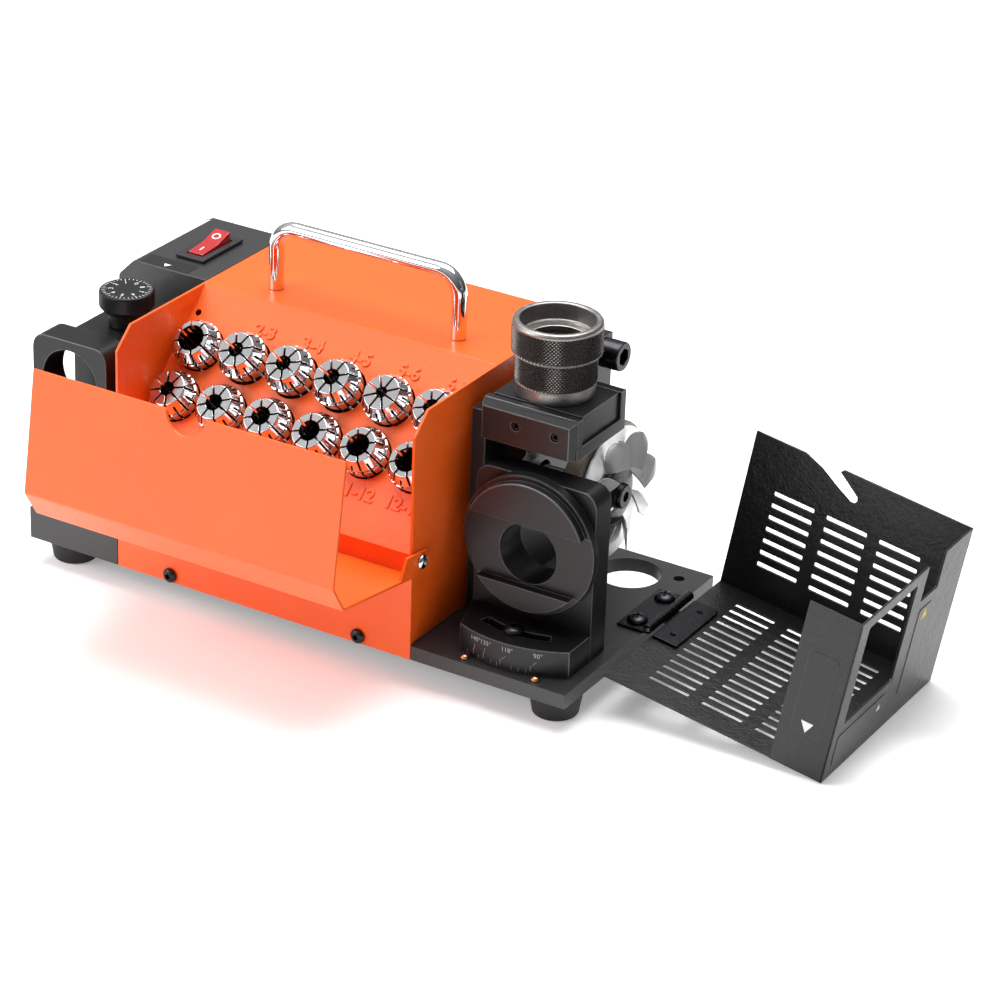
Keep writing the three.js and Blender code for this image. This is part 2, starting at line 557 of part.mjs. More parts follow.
function hinge() {
  const { x, z } = HINGE, low = z - KNUCKLE_R, leaf = 1.3, third = (HINGE_BACK - HINGE_FRONT) / 3;
  const first = HINGE_FRONT + third, second = HINGE_BACK - third;
  const barrel = (y0, y1) => rod(KNUCKLE_R, y0, y1, [0, 1, 0], [x, 0, z], 20);
  const pinHole = rod(1.5, 0, 200, [0, 1, 0], [x, 0, z], 16);
  let fixed = join(
    box(73, x - 3, HINGE_FRONT, HINGE_BACK, low, low + leaf),
    box(x - 4, x, HINGE_FRONT, first, low, low + leaf), box(x - 4, x, second, HINGE_BACK, low, low + leaf),
    barrel(HINGE_FRONT, first), barrel(second, HINGE_BACK));
  fixed = cut(fixed, pinHole, box(x - 4, x + 4, first, second, 0, 40),
    rod(1.9, 0, 20, [0, 0, 1], [80.4, 84, 0], 12), rod(1.9, 0, 20, [0, 0, 1], [80.4, 112, 0], 12));
  place("hinge_leaf_fixed", fixed, "blackOxide");
  let moving = join(
    box(3, 17.2, HINGE_FRONT, HINGE_BACK, -KNUCKLE_R, -KNUCKLE_R + leaf),
    box(0, 4, first + GAP, second - GAP, -KNUCKLE_R, -KNUCKLE_R + leaf),
    rod(KNUCKLE_R, first + GAP, second - GAP, [0, 1, 0], [0, 0, 0], 20));
  moving = cut(moving, rod(1.5, 0, 200, [0, 1, 0], [0, 0, 0], 16),
    rod(1.6, -9, 9, [0, 0, 1], [10.7, 84, 0], 12), rod(1.6, -9, 9, [0, 0, 1], [10.7, 112, 0], 12),
    box(-4, 3.3, HINGE_FRONT - 1, first + GAP, -5, 5), box(-4, 3.3, second - GAP, HINGE_BACK + 1, -5, 5));
  place("hinge_leaf_moving", drooped(moving), "blackOxide");
  place("hinge_pin", rod(1.2, HINGE_FRONT, HINGE_BACK, [0, 1, 0], [x, 0, z], 16), "steel");
  for (const [y, end] of [[84, "front"], [112, "back"]]) {
    const head = turned([
      [0, 3], [1.6, 3], [1.6, 9.8], [5.4, 9.8], [5.2, 10.9], [3.6, 12.2], [0, 12.7],
    ], [0, 0, 1], [80.4, y, 0], 20);
    place(`hinge_screw_${end}`, cut(head, box(77.7, 83.1, y - 0.55, y + 0.55, 11.2, 14),
      box(79.85, 80.95, y - 2.7, y + 2.7, 11.2, 14)), "blackScrew");
  }
}

caseCover();
storageLid();
collets();
handle();
basePlate();
feet();
controlHousing();
rockerSwitch();
settingStation();
drive();
angleStation();
webStation();
guard();
hinge();

const bounds = new THREE.Box3().setFromObject(machine);
const centre = bounds.getCenter(new THREE.Vector3());
for (const mesh of machine.children) mesh.geometry.translate(-centre.x, -centre.y, -bounds.min.z);

export default machine;
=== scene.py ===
import math

import bmesh
import bpy
from mathutils import Matrix, Vector


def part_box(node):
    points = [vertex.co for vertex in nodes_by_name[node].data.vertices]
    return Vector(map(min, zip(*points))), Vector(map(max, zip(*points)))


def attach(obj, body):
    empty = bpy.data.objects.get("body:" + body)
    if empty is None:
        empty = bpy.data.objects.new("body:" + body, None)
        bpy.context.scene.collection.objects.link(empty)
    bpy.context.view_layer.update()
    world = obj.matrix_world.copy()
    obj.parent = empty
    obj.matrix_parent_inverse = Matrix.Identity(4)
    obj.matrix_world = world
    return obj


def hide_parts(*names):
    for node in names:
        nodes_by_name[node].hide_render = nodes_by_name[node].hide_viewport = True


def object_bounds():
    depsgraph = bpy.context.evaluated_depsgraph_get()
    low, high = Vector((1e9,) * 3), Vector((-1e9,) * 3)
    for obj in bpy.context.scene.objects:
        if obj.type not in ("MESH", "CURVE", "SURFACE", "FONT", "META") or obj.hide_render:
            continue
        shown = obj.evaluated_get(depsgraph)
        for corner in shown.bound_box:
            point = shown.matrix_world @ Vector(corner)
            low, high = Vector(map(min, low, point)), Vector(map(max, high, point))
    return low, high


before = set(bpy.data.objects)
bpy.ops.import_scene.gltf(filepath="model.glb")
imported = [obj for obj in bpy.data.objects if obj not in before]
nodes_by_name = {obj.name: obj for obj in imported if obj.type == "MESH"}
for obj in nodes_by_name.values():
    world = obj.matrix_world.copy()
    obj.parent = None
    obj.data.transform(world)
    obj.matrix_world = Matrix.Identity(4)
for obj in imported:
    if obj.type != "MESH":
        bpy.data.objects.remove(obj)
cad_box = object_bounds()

MM = 0.001

# Where things stand. The machine is measured from the orange case's right front bottom corner:
# X along the machine, Y to the back, Z up from the underside of the base plate.
case_low, case_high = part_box("case_cover")
corner = Vector((case_high.x, case_low.y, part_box("base_plate")[0].z))


def at(x, y, z):
    return corner + Vector((x, y, z)) * MM


# ---- studio ----
# The floor is a wide sheet of pale paper that the machine's rubber feet stand on. It is matt, with
# a faint tooth, it is lit from below like a light table, and it runs well past the view.
FLOOR_SIZE, UNDER_FEET = 8.0, 0.0001
PAPER_TOOTH = 260


def cleared(owner):
    """Empties the node tree of a new material or world, and gives its nodes and links."""
    owner.use_nodes = True
    owner.node_tree.nodes.clear()
    return owner.node_tree.nodes, owner.node_tree.links


def spread(nodes):
    """Spaces the nodes over the editor in the order they were added, three to a column."""
    for i, node in enumerate(nodes):
        node.location = (i // 3 * 240, i % 3 * -280)


bpy.ops.object.select_all(action="DESELECT")
bpy.ops.mesh.primitive_plane_add(size=FLOOR_SIZE, location=(0, 0, cad_box[0][2] - UNDER_FEET))
floor = bpy.context.object
floor.name = "floor"
bpy.ops.object.transform_apply()

paper = bpy.data.materials.new("pale_paper")
nodes, links = cleared(paper)
tooth_frame = nodes.new("NodeFrame")
tooth_frame.label = "Tooth of the paper"
spot = nodes.new("ShaderNodeTexCoord")
spot.label = "Place on the floor"
tooth = nodes.new("ShaderNodeTexNoise")
tooth.label = "Paper fibres"
tooth.inputs["Scale"].default_value = PAPER_TOOTH
tooth.inputs["Detail"].default_value = 3
press = nodes.new("ShaderNodeBump")
press.label = "Faint relief"
press.inputs["Strength"].default_value = 0.03
press.inputs["Distance"].default_value = 0.0002
sheet = nodes.new("ShaderNodeBsdfPrincipled")
sheet.label = "Matt white paper"
sheet.inputs["Base Color"].default_value = (0.92, 0.92, 0.92, 1)
sheet.inputs["Roughness"].default_value = 0.85
sheet.inputs["Specular IOR Level"].default_value = 0.2
sheet.inputs["Emission Color"].default_value = (1, 1, 1, 1)
sheet.inputs["Emission Strength"].default_value = 0.27
out = nodes.new("ShaderNodeOutputMaterial")
out.label = "Floor"
for node in (tooth, press):
    node.parent = tooth_frame
spread(nodes)
links.new(spot.outputs["Object"], tooth.inputs["Vector"])
links.new(tooth.outputs["Fac"], press.inputs["Height"])
links.new(press.outputs["Normal"], sheet.inputs["Normal"])
links.new(sheet.outputs["BSDF"], out.inputs["Surface"])
floor.data.materials.append(paper)

# Light comes from a large soft box over the machine, a second in front to the left that shines
# on the lid and the slope, and a weak one on the right. The white room is bright overhead and
# brighter on its left than on its right.
SOFT_BOXES = {
    "top_box": {"at": (-0.15, 0.25, 1.5), "aim": (0, 0, 0.05), "size": (1.5, 1.2), "watts": 34},
    "front_box_light": {"at": (-1.3, -1.2, 1.0), "aim": (-0.05, 0, 0.08), "size": (1.1, 1.1),
                        "watts": 21},
    "right_box": {"at": (1.6, 0.1, 0.7), "aim": (0.1, 0, 0.05), "size": (0.7, 1.0), "watts": 0.4},
}
for name, box in SOFT_BOXES.items():
    lamp = bpy.data.lights.new(name, "AREA")
    lamp.shape = "RECTANGLE"
    lamp.size, lamp.size_y = box["size"]
    lamp.energy = box["watts"]
    stand = bpy.data.objects.new(name, lamp)
    stand.location = box["at"]
    stand.rotation_euler = (Vector(box["aim"]) - stand.location).to_track_quat("-Z", "Y").to_euler()
    bpy.context.scene.collection.objects.link(stand)

room = bpy.data.worlds.new("white_room")
nodes, links = cleared(room)
height_frame = nodes.new("NodeFrame")
height_frame.label = "Bright ceiling, dim walls"
looking = nodes.new("ShaderNodeTexCoord")
looking.label = "Direction in the room"
split = nodes.new("ShaderNodeSeparateXYZ")
split.label = "Height and side"
ceiling = nodes.new("ShaderNodeMapRange")
ceiling.label = "Wall to ceiling"
ceiling.inputs["From Min"].default_value = 0.0
ceiling.inputs["From Max"].default_value = 0.85
ceiling.inputs["To Min"].default_value = 0.2
ceiling.inputs["To Max"].default_value = 0.95
side = nodes.new("ShaderNodeMapRange")
side.label = "Window side to dark side"
side.inputs["From Min"].default_value = -1.0
side.inputs["From Max"].default_value = 0.8
side.inputs["To Min"].default_value = 1.25
side.inputs["To Max"].default_value = 0.22
glow = nodes.new("ShaderNodeMath")
glow.label = "Light of the room"
glow.operation = "MULTIPLY"
walls = nodes.new("ShaderNodeBackground")
walls.label = "White room"
out = nodes.new("ShaderNodeOutputWorld")
out.label = "Room"
for node in (split, ceiling, side):
    node.parent = height_frame
spread(nodes)
links.new(looking.outputs["Generated"], split.inputs["Vector"])
links.new(split.outputs["Z"], ceiling.inputs["Value"])
links.new(split.outputs["X"], side.inputs["Value"])
links.new(ceiling.outputs["Result"], glow.inputs[0])
links.new(side.outputs["Result"], glow.inputs[1])
links.new(glow.outputs["Value"], walls.inputs["Strength"])
links.new(walls.outputs["Background"], out.inputs["Surface"])
bpy.context.scene.world = room
bpy.context.scene.view_settings.view_transform = "Standard"
bpy.context.scene.view_settings.look = "None"

# The camera stands to the right of the front, a little over a metre and a half away, and looks
# down on the machine through a long lens. It is tipped slightly clockwise.
CAMERA_PLACE = (843.49, -1364.73, 886.03)
CAMERA_TURN, CAMERA_DIP, CAMERA_TIP = math.radians(30.24), math.radians(26.42), math.radians(2.07)
LENS, SENSOR = 134.5, 36

view = bpy.data.cameras.new("camera")
view.lens = LENS
view.sensor_width = SENSOR
view.clip_start, view.clip_end = 0.05, 30
camera = bpy.data.objects.new("camera", view)
level_right = Vector((math.cos(CAMERA_TURN), math.sin(CAMERA_TURN), 0))
backward = Vector((math.sin(CAMERA_TURN) * math.cos(CAMERA_DIP),
                   -math.cos(CAMERA_TURN) * math.cos(CAMERA_DIP), math.sin(CAMERA_DIP)))
level_up = backward.cross(level_right)
right = level_right * math.cos(CAMERA_TIP) + level_up * math.sin(CAMERA_TIP)
up = level_up * math.cos(CAMERA_TIP) - level_right * math.sin(CAMERA_TIP)
looking_along = Matrix((right, up, backward)).transposed().to_4x4()
camera.matrix_world = Matrix.Translation(at(*CAMERA_PLACE)) @ looking_along
bpy.context.scene.collection.objects.link(camera)
bpy.context.scene.camera = camera


# ---- case ----
# The case is one folded sheet of 1.5 mm steel with two welded cheeks, powder coated in a vivid
# orange with a pebbled skin. Its bends are rounded and its cut edges are broken.
SHEET_EDGE, BEND_SET = 0.3, 1.0


def pick(piece):
    """Selects one piece and nothing else, and makes it the active one."""
    bpy.ops.object.select_all(action="DESELECT")
    bpy.context.view_layer.objects.active = piece
    piece.select_set(True)


def flattened_copy(node, name):
    """A copy of a frame part, with its loose triangles merged into flat faces, ready to be shaped."""
    piece = bpy.data.objects.new(name, nodes_by_name[node].data.copy())
    piece.data.materials.clear()
    bpy.context.scene.collection.objects.link(piece)
    pick(piece)
    bpy.ops.mesh.customdata_custom_splitnormals_clear()
    bpy.ops.object.mode_set(mode="EDIT")
    bpy.ops.mesh.select_all(action="SELECT")
    bpy.ops.mesh.remove_doubles(threshold=0.000004)
    bpy.ops.mesh.dissolve_limited(angle_limit=math.radians(0.6), delimit=set())
    bpy.ops.object.mode_set(mode="OBJECT")
    return piece


def round_bends(piece, offset, low=14, high=78, longer_than=18 * MM, steps=4):
    """Rounds the long folds of a sheet, which are the edges that turn less than a square corner."""
    pick(piece)
    bpy.ops.object.mode_set(mode="EDIT")
    bpy.ops.mesh.select_all(action="DESELECT")
    mesh = bmesh.from_edit_mesh(piece.data)
    for edge in mesh.edges:
        if len(edge.link_faces) == 2 and edge.calc_length() > longer_than:
            turn = math.degrees(edge.calc_face_angle(0))
            edge.select_set(low < turn < high)
    bmesh.update_edit_mesh(piece.data)
    bpy.ops.mesh.bevel(offset=offset * MM, segments=steps, affect="EDGES")
    bpy.ops.object.mode_set(mode="OBJECT")


def break_edges(piece, width, steps=2, sharper_than=30, edge_finish=-1):
    """Rounds every sharp edge a little, and keeps the flats flat under smooth shading."""
    pick(piece)
    if width:
        edges = piece.modifiers.new("broken edges", "BEVEL")
        edges.limit_method = "ANGLE"
        edges.angle_limit = math.radians(sharper_than)
        edges.width = width * MM
        edges.segments = steps
        edges.use_clamp_overlap = False
        edges.miter_outer = "MITER_ARC"
        edges.material = edge_finish
        bpy.ops.object.modifier_apply(modifier=edges.name)
    bpy.ops.object.shade_smooth_by_angle(angle=math.radians(sharper_than + 6))
    flats = piece.modifiers.new("flat faces", "WEIGHTED_NORMAL")
    flats.keep_sharp = True
    flats.weight = 80
    bpy.ops.object.modifier_apply(modifier=flats.name)


def powder_coat(name, colour, roughness, pebble, relief, strength, gloss_film=0.3):
    """Powder coat: one even colour under a pebbled skin, a touch darker and glossier in patches."""
    coat = bpy.data.materials.new(name)
    nodes, links = cleared(coat)
    skin_frame = nodes.new("NodeFrame")
    skin_frame.label = "Pebbled skin"
    tint_frame = nodes.new("NodeFrame")
    tint_frame.label = "Uneven film"
    spot = nodes.new("ShaderNodeTexCoord")
    spot.label = "Place on the sheet"
    pebbles = nodes.new("ShaderNodeTexNoise")
    pebbles.label = "Pebbles of the coat"
    pebbles.inputs["Scale"].default_value = pebble
    pebbles.inputs["Detail"].default_value = 2
    pebbles.inputs["Roughness"].default_value = 0.45
    waves = nodes.new("ShaderNodeTexNoise")
    waves.label = "Flow of the film"
    waves.inputs["Scale"].default_value = pebble * 0.22
    waves.inputs["Detail"].default_value = 1
    heights = nodes.new("ShaderNodeMath")
    heights.label = "Pebbles on the flow"
    heights.operation = "ADD"
    relief_bump = nodes.new("ShaderNodeBump")
    relief_bump.label = "Skin relief"
    relief_bump.inputs["Strength"].default_value = strength
    relief_bump.inputs["Distance"].default_value = relief
    patches = nodes.new("ShaderNodeTexNoise")
    patches.label = "Patches of thicker film"
    patches.inputs["Scale"].default_value = 22
    patches.inputs["Detail"].default_value = 4
    tint = nodes.new("ShaderNodeValToRGB")
    tint.label = "Shade of the film"
    tint.color_ramp.elements[0].position = 0.3
    tint.color_ramp.elements[0].color = (*[c * 0.93 for c in colour], 1)
    tint.color_ramp.elements[1].position = 0.7
    tint.color_ramp.elements[1].color = (*colour, 1)
    gloss = nodes.new("ShaderNodeMapRange")
    gloss.label = "Gloss of the pebbles"
    gloss.inputs["To Min"].default_value = roughness - 0.05
    gloss.inputs["To Max"].default_value = roughness + 0.07
    paint = nodes.new("ShaderNodeBsdfPrincipled")
    paint.label = "Powder coat"
    paint.inputs["Coat Weight"].default_value = gloss_film
    paint.inputs["Coat Roughness"].default_value = 0.25
    out = nodes.new("ShaderNodeOutputMaterial")
    out.label = "Coated sheet"
    for node in (pebbles, waves, heights, relief_bump):
        node.parent = skin_frame
    for node in (patches, tint, gloss):
        node.parent = tint_frame
    spread(nodes)
    links.new(spot.outputs["Object"], pebbles.inputs["Vector"])
    links.new(spot.outputs["Object"], waves.inputs["Vector"])
    links.new(spot.outputs["Object"], patches.inputs["Vector"])
    links.new(pebbles.outputs["Fac"], heights.inputs[0])
    links.new(waves.outputs["Fac"], heights.inputs[1])
    links.new(heights.outputs["Value"], relief_bump.inputs["Height"])
    links.new(patches.outputs["Fac"], tint.inputs["Fac"])
    links.new(pebbles.outputs["Fac"], gloss.inputs["Value"])
    links.new(tint.outputs["Color"], paint.inputs["Base Color"])
    links.new(gloss.outputs["Result"], paint.inputs["Roughness"])
    links.new(relief_bump.outputs["Normal"], paint.inputs["Normal"])
    links.new(paint.outputs["BSDF"], out.inputs["Surface"])
    return coat


orange_coat = powder_coat("orange_powder_coat", (0.93, 0.117, 0.004), 0.42, 470, 0.0006, 0.42)

# The lid over the collets is a folded tray of the same sheet with a lip on its far edge and a
# thumb notch. It hangs open on two ears that turn on the pivot screws.
for node, name, body in (("case_cover", "orange_case", "base"), ("storage_lid", "collet_lid", "lid")):
    folded = flattened_copy(node, name)
    round_bends(folded, BEND_SET)
    break_edges(folded, SHEET_EDGE)
    folded.data.materials.append(orange_coat)
    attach(folded, body)
    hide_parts(node)

# Each collet place is named by the drill sizes it takes, pressed into the sheet from behind so
# that the figures stand up out of the slope under the paint.
SLOPE_TOP, SLOPE_FOOT = (75.5, 130.6), (0, 57.5)
COLLET_PITCH, FIRST_COLLET = 28.6, -160
COLLET_ROWS = {"upper": 70.8, "lower": 41.8}
FIGURE_ROWS = {"upper": (88.5, ["", "2-3", "3-4", "4-5", "5-6", "6-7"]),
               "lower": (22.0, ["7-8", "8-9", "9-10", "10-11", "11-12", "12-13"])}
FIGURE_HEIGHT, FIGURE_RISE, FIGURE_SHIFT = 9.6, 0.9, 2

slope_length = math.hypot(SLOPE_TOP[0] - SLOPE_FOOT[0], SLOPE_TOP[1] - SLOPE_FOOT[1])
up_slope = Vector((0, SLOPE_TOP[0] / slope_length, (SLOPE_TOP[1] - SLOPE_FOOT[1]) / slope_length))
out_of_slope = Vector((0, -up_slope.z, up_slope.y))


def on_slope(x, up):
    """The matrix that lays a piece flat on the slope panel, its top up the slope."""
    place = at(x, SLOPE_FOOT[0], SLOPE_FOOT[1]) + up_slope * up * MM
    axes = Matrix((Vector((1, 0, 0)), up_slope, out_of_slope)).transposed().to_4x4()
    return Matrix.Translation(place) @ axes


def laid(piece, place):
    """Lays a piece that was made about the origin on its place, for good."""
    piece.matrix_world = place
    pick(piece)
    bpy.ops.object.transform_apply()
    return piece


def raised_figures(name, words, height, rise, place, round_by=0.0):
    """Figures as a solid mesh, centred on a place and standing out along its Z."""
    bpy.ops.object.select_all(action="DESELECT")
    bpy.ops.object.text_add()
    figures = bpy.context.object
    figures.name = name
    figures.data.body = words
    figures.data.align_x = "CENTER"
    figures.data.align_y = "CENTER"
    figures.data.size = height * MM
    figures.data.extrude = rise * MM
    figures.data.bevel_depth = round_by * MM
    figures.data.bevel_resolution = 1
    figures.data.resolution_u = 4
    bpy.ops.object.convert(target="MESH")
    return laid(figures, place)


def joined(name, pieces):
    """Makes one object of several that are the same piece."""
    bpy.ops.object.select_all(action="DESELECT")
    for piece in pieces:
        piece.select_set(True)
    bpy.context.view_layer.objects.active = pieces[0]
    if len(pieces) > 1:
        bpy.ops.object.join()
    bpy.ops.object.transform_apply()
    pieces[0].name = name
    return pieces[0]


figures = []
for row, (up_by, sizes) in FIGURE_ROWS.items():
    for i, size in enumerate(sizes):
        if size:
            place = on_slope(FIRST_COLLET + i * COLLET_PITCH + FIGURE_SHIFT, up_by)
            figures.append(raised_figures("figures", size, FIGURE_HEIGHT, FIGURE_RISE / 2, place, 0.3))
collet_figures = joined("collet_size_figures", figures)
bpy.ops.object.shade_smooth_by_angle(angle=math.radians(50))
collet_figures.data.materials.append(orange_coat)
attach(collet_figures, "base")


# ---- carry handle ----
# The handle is an 8 mm steel rod bent square at both ends and chrome plated, with each foot
# screwed from inside the case's top. It is drawn from one foot, round both bends, to the other.
HANDLE_RADIUS, HANDLE_BEND = 4.0, 12.0
handle_low, handle_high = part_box("carry_handle")


def bright_metal(name, colour, roughness, streaks, relief):
    """Bare or plated metal: fine streaks in the gloss, and a faint relief that follows them."""
    metal = bpy.data.materials.new(name)
    nodes, links = cleared(metal)
    streak_frame = nodes.new("NodeFrame")
    streak_frame.label = "Tool and polish marks"
    tone_frame = nodes.new("NodeFrame")
    tone_frame.label = "Tone of the metal"
    spot = nodes.new("ShaderNodeTexCoord")
    spot.label = "Place on the piece"
    stretch = nodes.new("ShaderNodeMapping")
    stretch.label = "Direction of the marks"
    stretch.inputs["Scale"].default_value = streaks
    marks = nodes.new("ShaderNodeTexNoise")
    marks.label = "Marks"
    marks.inputs["Scale"].default_value = 1
    marks.inputs["Detail"].default_value = 3
    shine = nodes.new("ShaderNodeMapRange")
    shine.label = "Gloss between the marks"
    shine.inputs["From Min"].default_value = 0.25
    shine.inputs["From Max"].default_value = 0.75
    shine.inputs["To Min"].default_value = roughness * 0.75
    shine.inputs["To Max"].default_value = roughness * 1.3
    scratch = nodes.new("ShaderNodeBump")
    scratch.label = "Depth of the marks"
    scratch.inputs["Strength"].default_value = 0.2
    scratch.inputs["Distance"].default_value = relief
    smear = nodes.new("ShaderNodeTexNoise")
    smear.label = "Handling smears"
    smear.inputs["Scale"].default_value = 55
    smear.inputs["Detail"].default_value = 3
    tone = nodes.new("ShaderNodeValToRGB")
    tone.label = "Metal colour"
    tone.color_ramp.elements[0].position = 0.3
    tone.color_ramp.elements[0].color = (*[c * 0.88 for c in colour], 1)
    tone.color_ramp.elements[1].position = 0.7
    tone.color_ramp.elements[1].color = (*colour, 1)
    surface = nodes.new("ShaderNodeBsdfPrincipled")
    surface.label = "Metal"
    surface.inputs["Metallic"].default_value = 1
    out = nodes.new("ShaderNodeOutputMaterial")
    out.label = "Metal piece"
    for node in (stretch, marks, shine, scratch):
        node.parent = streak_frame
    for node in (smear, tone):
        node.parent = tone_frame
    spread(nodes)
    links.new(spot.outputs["Object"], stretch.inputs["Vector"])
    links.new(stretch.outputs["Vector"], marks.inputs["Vector"])
    links.new(spot.outputs["Object"], smear.inputs["Vector"])
    links.new(marks.outputs["Fac"], shine.inputs["Value"])
    links.new(marks.outputs["Fac"], scratch.inputs["Height"])
    links.new(smear.outputs["Fac"], tone.inputs["Fac"])
    links.new(tone.outputs["Color"], surface.inputs["Base Color"])
    links.new(shine.outputs["Result"], surface.inputs["Roughness"])
    links.new(scratch.outputs["Normal"], surface.inputs["Normal"])
    links.new(surface.outputs["BSDF"], out.inputs["Surface"])
    return metal


chrome = bright_metal("chrome_plate", (0.82, 0.83, 0.85), 0.07, (150, 150, 150), 0.00001)

foot = Vector((handle_low.x + HANDLE_RADIUS * MM, (handle_low.y + handle_high.y) / 2, handle_low.z))
far_foot = Vector((handle_high.x - HANDLE_RADIUS * MM, foot.y, foot.z))
rod_top = handle_high.z - HANDLE_RADIUS * MM
bend_low = rod_top - HANDLE_BEND * MM


def weld_skin():
    """In edit mode, joins points that meet and turns the faces outwards, then leaves edit mode."""
    bpy.ops.mesh.select_all(action="SELECT")
    bpy.ops.mesh.remove_doubles(threshold=0.000002)
    bpy.ops.mesh.normals_make_consistent(inside=False)
    bpy.ops.object.mode_set(mode="OBJECT")


bpy.ops.object.select_all(action="DESELECT")
bpy.ops.mesh.primitive_circle_add(vertices=40, radius=HANDLE_RADIUS * MM, location=foot, fill_type="NGON")
handle = bpy.context.object
handle.name = "chrome_handle"
bpy.ops.object.transform_apply()
bpy.ops.object.mode_set(mode="EDIT")
bpy.ops.mesh.select_all(action="SELECT")
bpy.ops.mesh.extrude_region_move(TRANSFORM_OT_translate={"value": (0, 0, bend_low - foot.z)})
bpy.ops.mesh.spin(steps=14, angle=-math.pi / 2, axis=(0, 1, 0),
                  center=(foot.x + HANDLE_BEND * MM, foot.y, bend_low))
bpy.ops.mesh.extrude_region_move(
    TRANSFORM_OT_translate={"value": (far_foot.x - foot.x - 2 * HANDLE_BEND * MM, 0, 0)})
bpy.ops.mesh.spin(steps=14, angle=-math.pi / 2, axis=(0, 1, 0),
                  center=(far_foot.x - HANDLE_BEND * MM, foot.y, bend_low))
bpy.ops.mesh.extrude_region_move(TRANSFORM_OT_translate={"value": (0, 0, foot.z - bend_low)})
weld_skin()
break_edges(handle, 0)
handle.data.materials.append(chrome)
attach(handle, "base")
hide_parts("carry_handle")


# ---- collets ----
# Twelve spring collets hang by their long cones in holes in the slope, one for each drill size, and
# some stand a little higher. Each is turned and ground steel: a nose cone with a flat face, a
# groove, a rim and the long cone. Eight slots run in from the face, eight from behind.
COLLET_BORES = {"upper": [7.0, 4.0, 4.0, 4.25, 3.0, 4.0], "lower": [3.8, 4.5, 5.0, 5.5, 6.0, 6.5]}
COLLET_STANDS = {"upper": [0, 2.4, 2.4, 2.4, 0.6, 0.6], "lower": [0, 0, 0.6, 0, 0, 0]}
COLLET_TURNS = {"upper": [3, 0, -4, 2, 5, -2], "lower": [-3, 4, 0, -5, 2, 1]}
NOSE_FACE, SLOT_WIDTH, SHORT_SLOT_TOP, SLOT_TURN = 13.4, 1.0, 11.2, 22.5


def turned(name, profile, sides=64):
    """A piece turned about Z from its profile of radii and heights, closed at both ends."""
    bpy.ops.object.select_all(action="DESELECT")
    radius, height = profile[0]
    bpy.ops.mesh.primitive_circle_add(vertices=sides, radius=radius * MM, location=(0, 0, height * MM))
    piece = bpy.context.object
    piece.name = name
    bpy.ops.object.transform_apply()
    bpy.ops.object.mode_set(mode="EDIT")
    bpy.ops.mesh.select_all(action="SELECT")
    ring = profile[0] == profile[-1]
    if not ring:
        bpy.ops.mesh.edge_face_add()
        bpy.ops.mesh.select_all(action="SELECT")
    for next_radius, next_height in profile[1:]:
        extrude = bpy.ops.mesh.extrude_edges_move if ring else bpy.ops.mesh.extrude_region_move
        extrude(TRANSFORM_OT_translate={"value": (0, 0, (next_height - height) * MM)})
        grow = next_radius / radius
        bpy.ops.transform.resize(value=(grow, grow, 1), center_override=(0, 0, next_height * MM))
        radius, height = next_radius, next_height
    weld_skin()
    return piece


def stand_at(piece, place, axis=(0, 0, 1)):
    """Sets a piece that was made about Z at its place, along its axis, for good."""
    turn = Vector(axis).to_track_quat("Z", "Y").to_matrix().to_4x4()
    return laid(piece, Matrix.Translation(place) @ turn)


def block(low, high, turn=0.0):
    """A plain block between two corners in millimetres, turned about Z, for cutting with."""
    bpy.ops.object.select_all(action="DESELECT")
    bpy.ops.mesh.primitive_cube_add(size=1)
    piece = bpy.context.object
    middle = Vector([(a + b) / 2 for a, b in zip(low, high)]) * MM
    size = Matrix.Diagonal([(b - a) * MM for a, b in zip(low, high)] + [1])
    piece.matrix_world = Matrix.Rotation(math.radians(turn), 4, "Z") @ Matrix.Translation(middle) @ size
    bpy.ops.object.transform_apply()
    return piece


def bore(piece, radius, depth, middle=0.0, sides=6):
    """Cuts a hexagon socket or a round hole along Z, about a height in millimetres."""
    bpy.ops.object.select_all(action="DESELECT")
    bpy.ops.mesh.primitive_cylinder_add(vertices=sides, radius=radius * MM, depth=depth * MM,
                                        location=(0, 0, middle * MM))
    cut_away(piece, bpy.context.object)


def cut_away(piece, *cutters):
    """Cuts each cutter out of the piece and throws the cutters away."""
    for cutter in cutters:
        pick(piece)
        cut = piece.modifiers.new("cut", "BOOLEAN")
        cut.operation = "DIFFERENCE"
        cut.solver = "EXACT"
        cut.object = cutter
        bpy.ops.object.modifier_apply(modifier=cut.name)
        bpy.data.objects.remove(cutter)


collet_steel = bright_metal("ground_steel", (0.7, 0.705, 0.72), 0.13, (900, 260, 260), 0.000004)

blank = turned("collet_blank", [
    (8.9, -20), (9.22, -19.6), (12.8, 5.5), (12.9, 5.9), (12.75, 6.2), (11.4, 6.5), (11.4, 7.5),
    (12.3, 7.75), (12.5, 8.05), (9.6, NOSE_FACE - 0.35), (9.2, NOSE_FACE),
])
half_slot = SLOT_WIDTH / 2
cut_away(blank, *[block((-14, -half_slot, -8), (14, half_slot, 15), SLOT_TURN + turn)
                  for turn in range(0, 180, 45)])
cut_away(blank, *[block((3, -half_slot, -12), (14, half_slot, SHORT_SLOT_TOP), turn)
                  for turn in range(0, 360, 45)])

